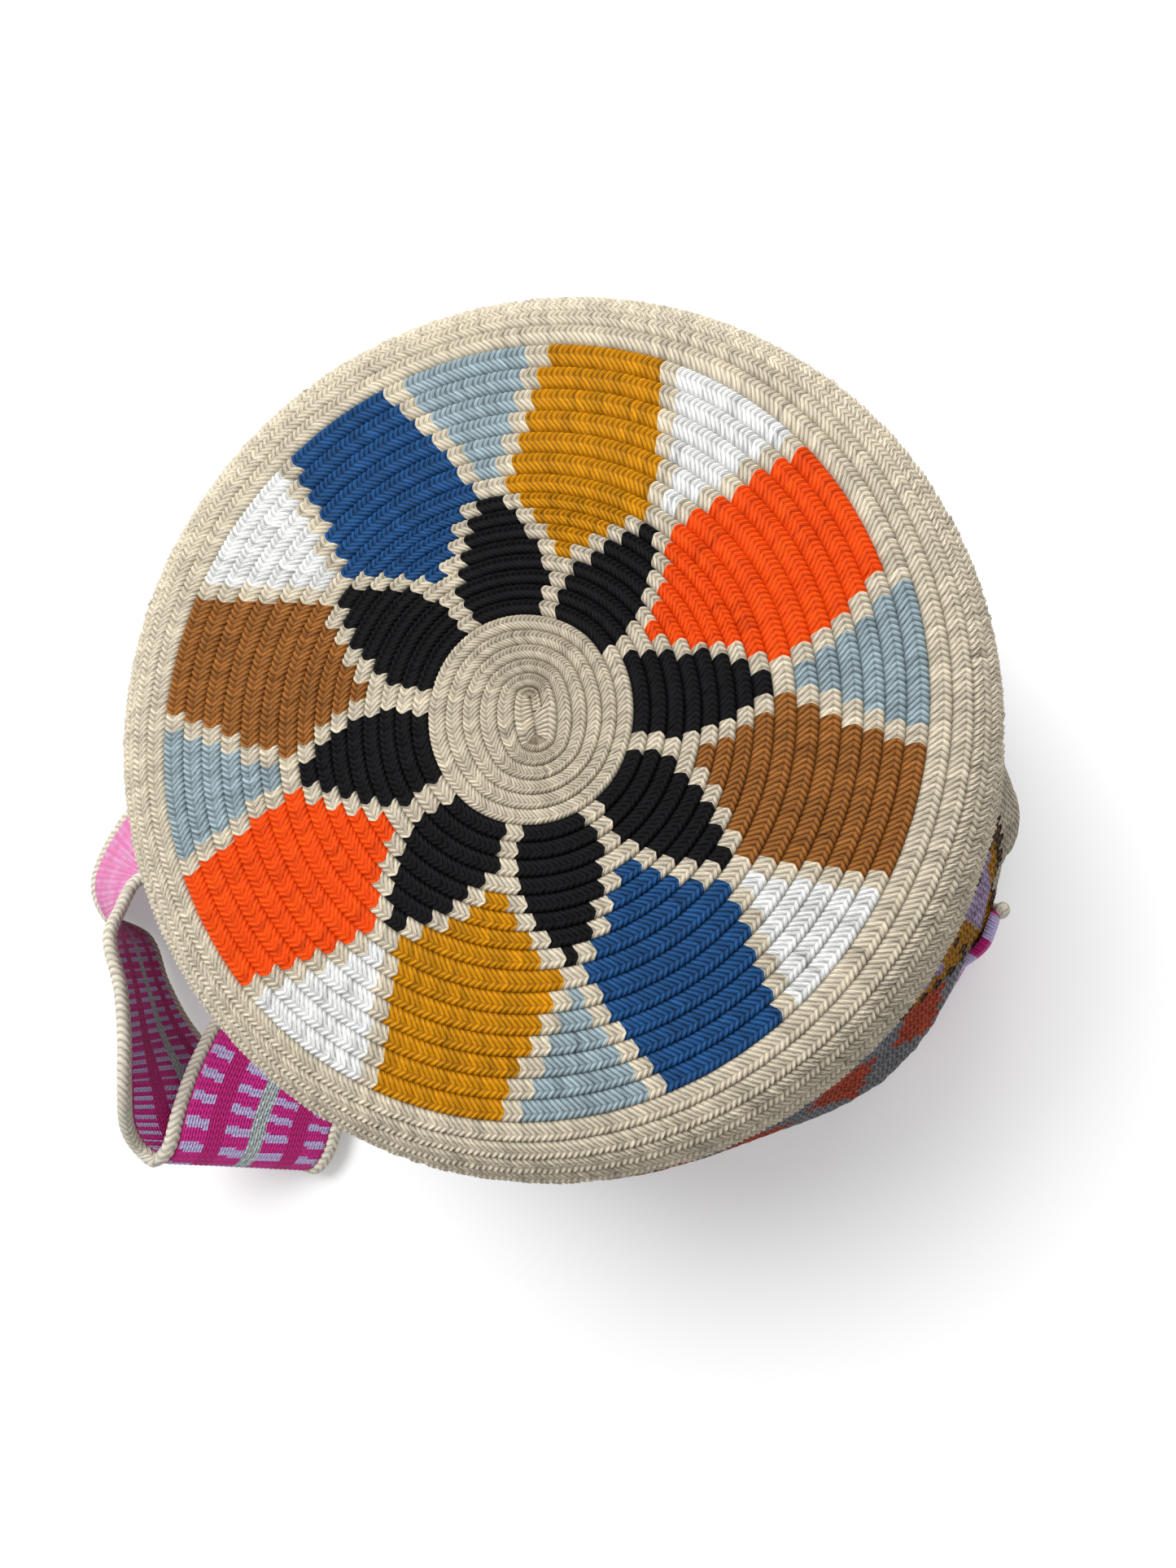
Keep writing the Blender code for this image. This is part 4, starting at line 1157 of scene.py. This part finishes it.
class BAG_OT_set_stage(bpy.types.Operator):
    """Lay the pale floor and set the lights and the camera"""
    bl_idname = "bag.set_stage"
    bl_label = "Stage"

    def execute(self, context):
        settings = context.scene.bag_stage
        bpy.ops.mesh.primitive_plane_add(size=FLOOR_SIZE, location=(0.0, 0.0, 0.0))
        floor = context.active_object
        floor.name = "floor"
        floor.data.materials.append(pale_floor())
        world = bpy.data.worlds.new("soft room")
        world.use_nodes = True
        back = world.node_tree.nodes["Background"]
        back.inputs["Color"].default_value = (1.0, 1.0, 1.0, 1.0)
        path = add(world.node_tree, "ShaderNodeLightPath")
        seen = add(world.node_tree, "ShaderNodeMapRange", {0: path.outputs["Is Camera Ray"]},
                   in_3=settings.fill_strength, in_4=1.0)
        world.node_tree.links.new(seen.outputs[0], back.inputs["Strength"])
        context.scene.world = world
        sun = bpy.data.lights.new("daylight", "SUN")
        sun.angle = math.radians(settings.softness)
        sun.energy = settings.sun_strength
        hang_light(sun, SUN_FROM)
        for name, place, power in (("lamp", LAMP_FROM, settings.lamp_power),
                                   ("window", WINDOW_FROM, settings.window_power)):
            panel = bpy.data.lights.new(name, "AREA")
            panel.shape = "RECTANGLE"
            panel.size, panel.size_y = PANEL_SIZE
            panel.energy = power
            hang_light(panel, place)
        lens = bpy.data.cameras.new("camera")
        lens.sensor_fit = "HORIZONTAL"
        lens.sensor_width = 36.0
        lens.lens = settings.focal
        lens.clip_start = 0.01
        camera = bpy.data.objects.new("camera", lens)
        # It is held level: its right is as near to +X as it can be
        back_axis = Vector(CAMERA_BACK).normalized()
        right = Vector((1.0, 0.0, 0.0))
        right = (right - back_axis * right.dot(back_axis)).normalized()
        turn = Matrix((right, back_axis.cross(right), back_axis)).transposed()
        place = Vector(BAG_CENTRE) + Vector(CAMERA_FROM)
        camera.matrix_world = Matrix.Translation(place) @ turn.to_4x4()
        context.scene.collection.objects.link(camera)
        context.scene.camera = camera
        context.scene.view_settings.view_transform = "Standard"
        return {"FINISHED"}


def hang_light(light, place):
    """Hangs a light at a place seen from the bag, and points it at the bag."""
    hung = bpy.data.objects.new(light.name, light)
    hung.location = Vector((BAG_CENTRE[0], BAG_CENTRE[1], AIM_HEIGHT)) + Vector(place)
    hung.rotation_euler = Vector(place).to_track_quat("Z", "Y").to_euler()
    bpy.context.scene.collection.objects.link(hung)


def pale_floor():
    """Matt white paper, rolled smooth: white where it is lit, and it keeps the bag's shadow."""
    material = bpy.data.materials.new("white paper")
    material.use_nodes = True
    tree = material.node_tree
    shader = tree.nodes["Principled BSDF"]
    shader.inputs["Base Color"].default_value = (0.86, 0.86, 0.86, 1.0)
    shader.inputs["Roughness"].default_value = 0.95
    shader.inputs["Specular IOR Level"].default_value = 0.0
    path = add(tree, "ShaderNodeLightPath")
    seen = add(tree, "ShaderNodeMath", {0: path.outputs["Is Camera Ray"],
                                        1: path.outputs["Is Glossy Ray"]}, operation="MAXIMUM")
    seen = add(tree, "ShaderNodeMath", {0: seen.outputs[0],
                                        1: path.outputs["Is Transmission Ray"]},
               operation="MAXIMUM")
    strength = add(tree, "ShaderNodeMath", {0: seen.outputs[0]}, operation="MULTIPLY", in_1=0.25)
    tree.links.new(strength.outputs[0], shader.inputs["Emission Strength"])
    shader.inputs["Emission Color"].default_value = (1.0, 1.0, 1.0, 1.0)
    return material


class BAG_PT_panel(bpy.types.Panel):
    """The bag's pieces and their yarns"""
    bl_idname = "BAG_PT_panel"
    bl_label = "Crocheted bag"
    bl_space_type = "VIEW_3D"
    bl_region_type = "UI"
    bl_category = "Bag"

    def draw(self, context):
        layout = self.layout
        for operator in OPERATORS:
            layout.operator(operator.bl_idname)
        scene = context.scene
        for group in (scene.crochet_sizes, scene.bag_yarns, scene.strap_yarns, scene.bag_stage):
            for name in group.__annotations__:
                layout.prop(group, name)


GROUPS = (CrochetSizes, BagYarns, StrapYarns, StageSettings)
OPERATORS = (BAG_OT_crochet_base, BAG_OT_crochet_wall, BAG_OT_line_bag, BAG_OT_weave_band,
             BAG_OT_crochet_borders, BAG_OT_set_stage)


def register():
    """Registers the settings, the operators and the panel."""
    for item in (*GROUPS, *OPERATORS, BAG_PT_panel):
        bpy.utils.register_class(item)
    bpy.types.Scene.crochet_sizes = PointerProperty(type=CrochetSizes)
    bpy.types.Scene.bag_yarns = PointerProperty(type=BagYarns)
    bpy.types.Scene.strap_yarns = PointerProperty(type=StrapYarns)
    bpy.types.Scene.bag_stage = PointerProperty(type=StageSettings)


def unregister():
    """Takes them out again."""
    del bpy.types.Scene.bag_stage
    del bpy.types.Scene.strap_yarns
    del bpy.types.Scene.bag_yarns
    del bpy.types.Scene.crochet_sizes
    for item in reversed((*GROUPS, *OPERATORS, BAG_PT_panel)):
        bpy.utils.unregister_class(item)


def main():
    """Builds every piece and the stage."""
    register()
    bpy.ops.bag.crochet_base()
    bpy.ops.bag.crochet_wall()
    bpy.ops.bag.line_bag()
    bpy.ops.bag.weave_band()
    bpy.ops.bag.crochet_borders()
    bpy.ops.bag.set_stage()


if __name__ == "__main__":
    main()
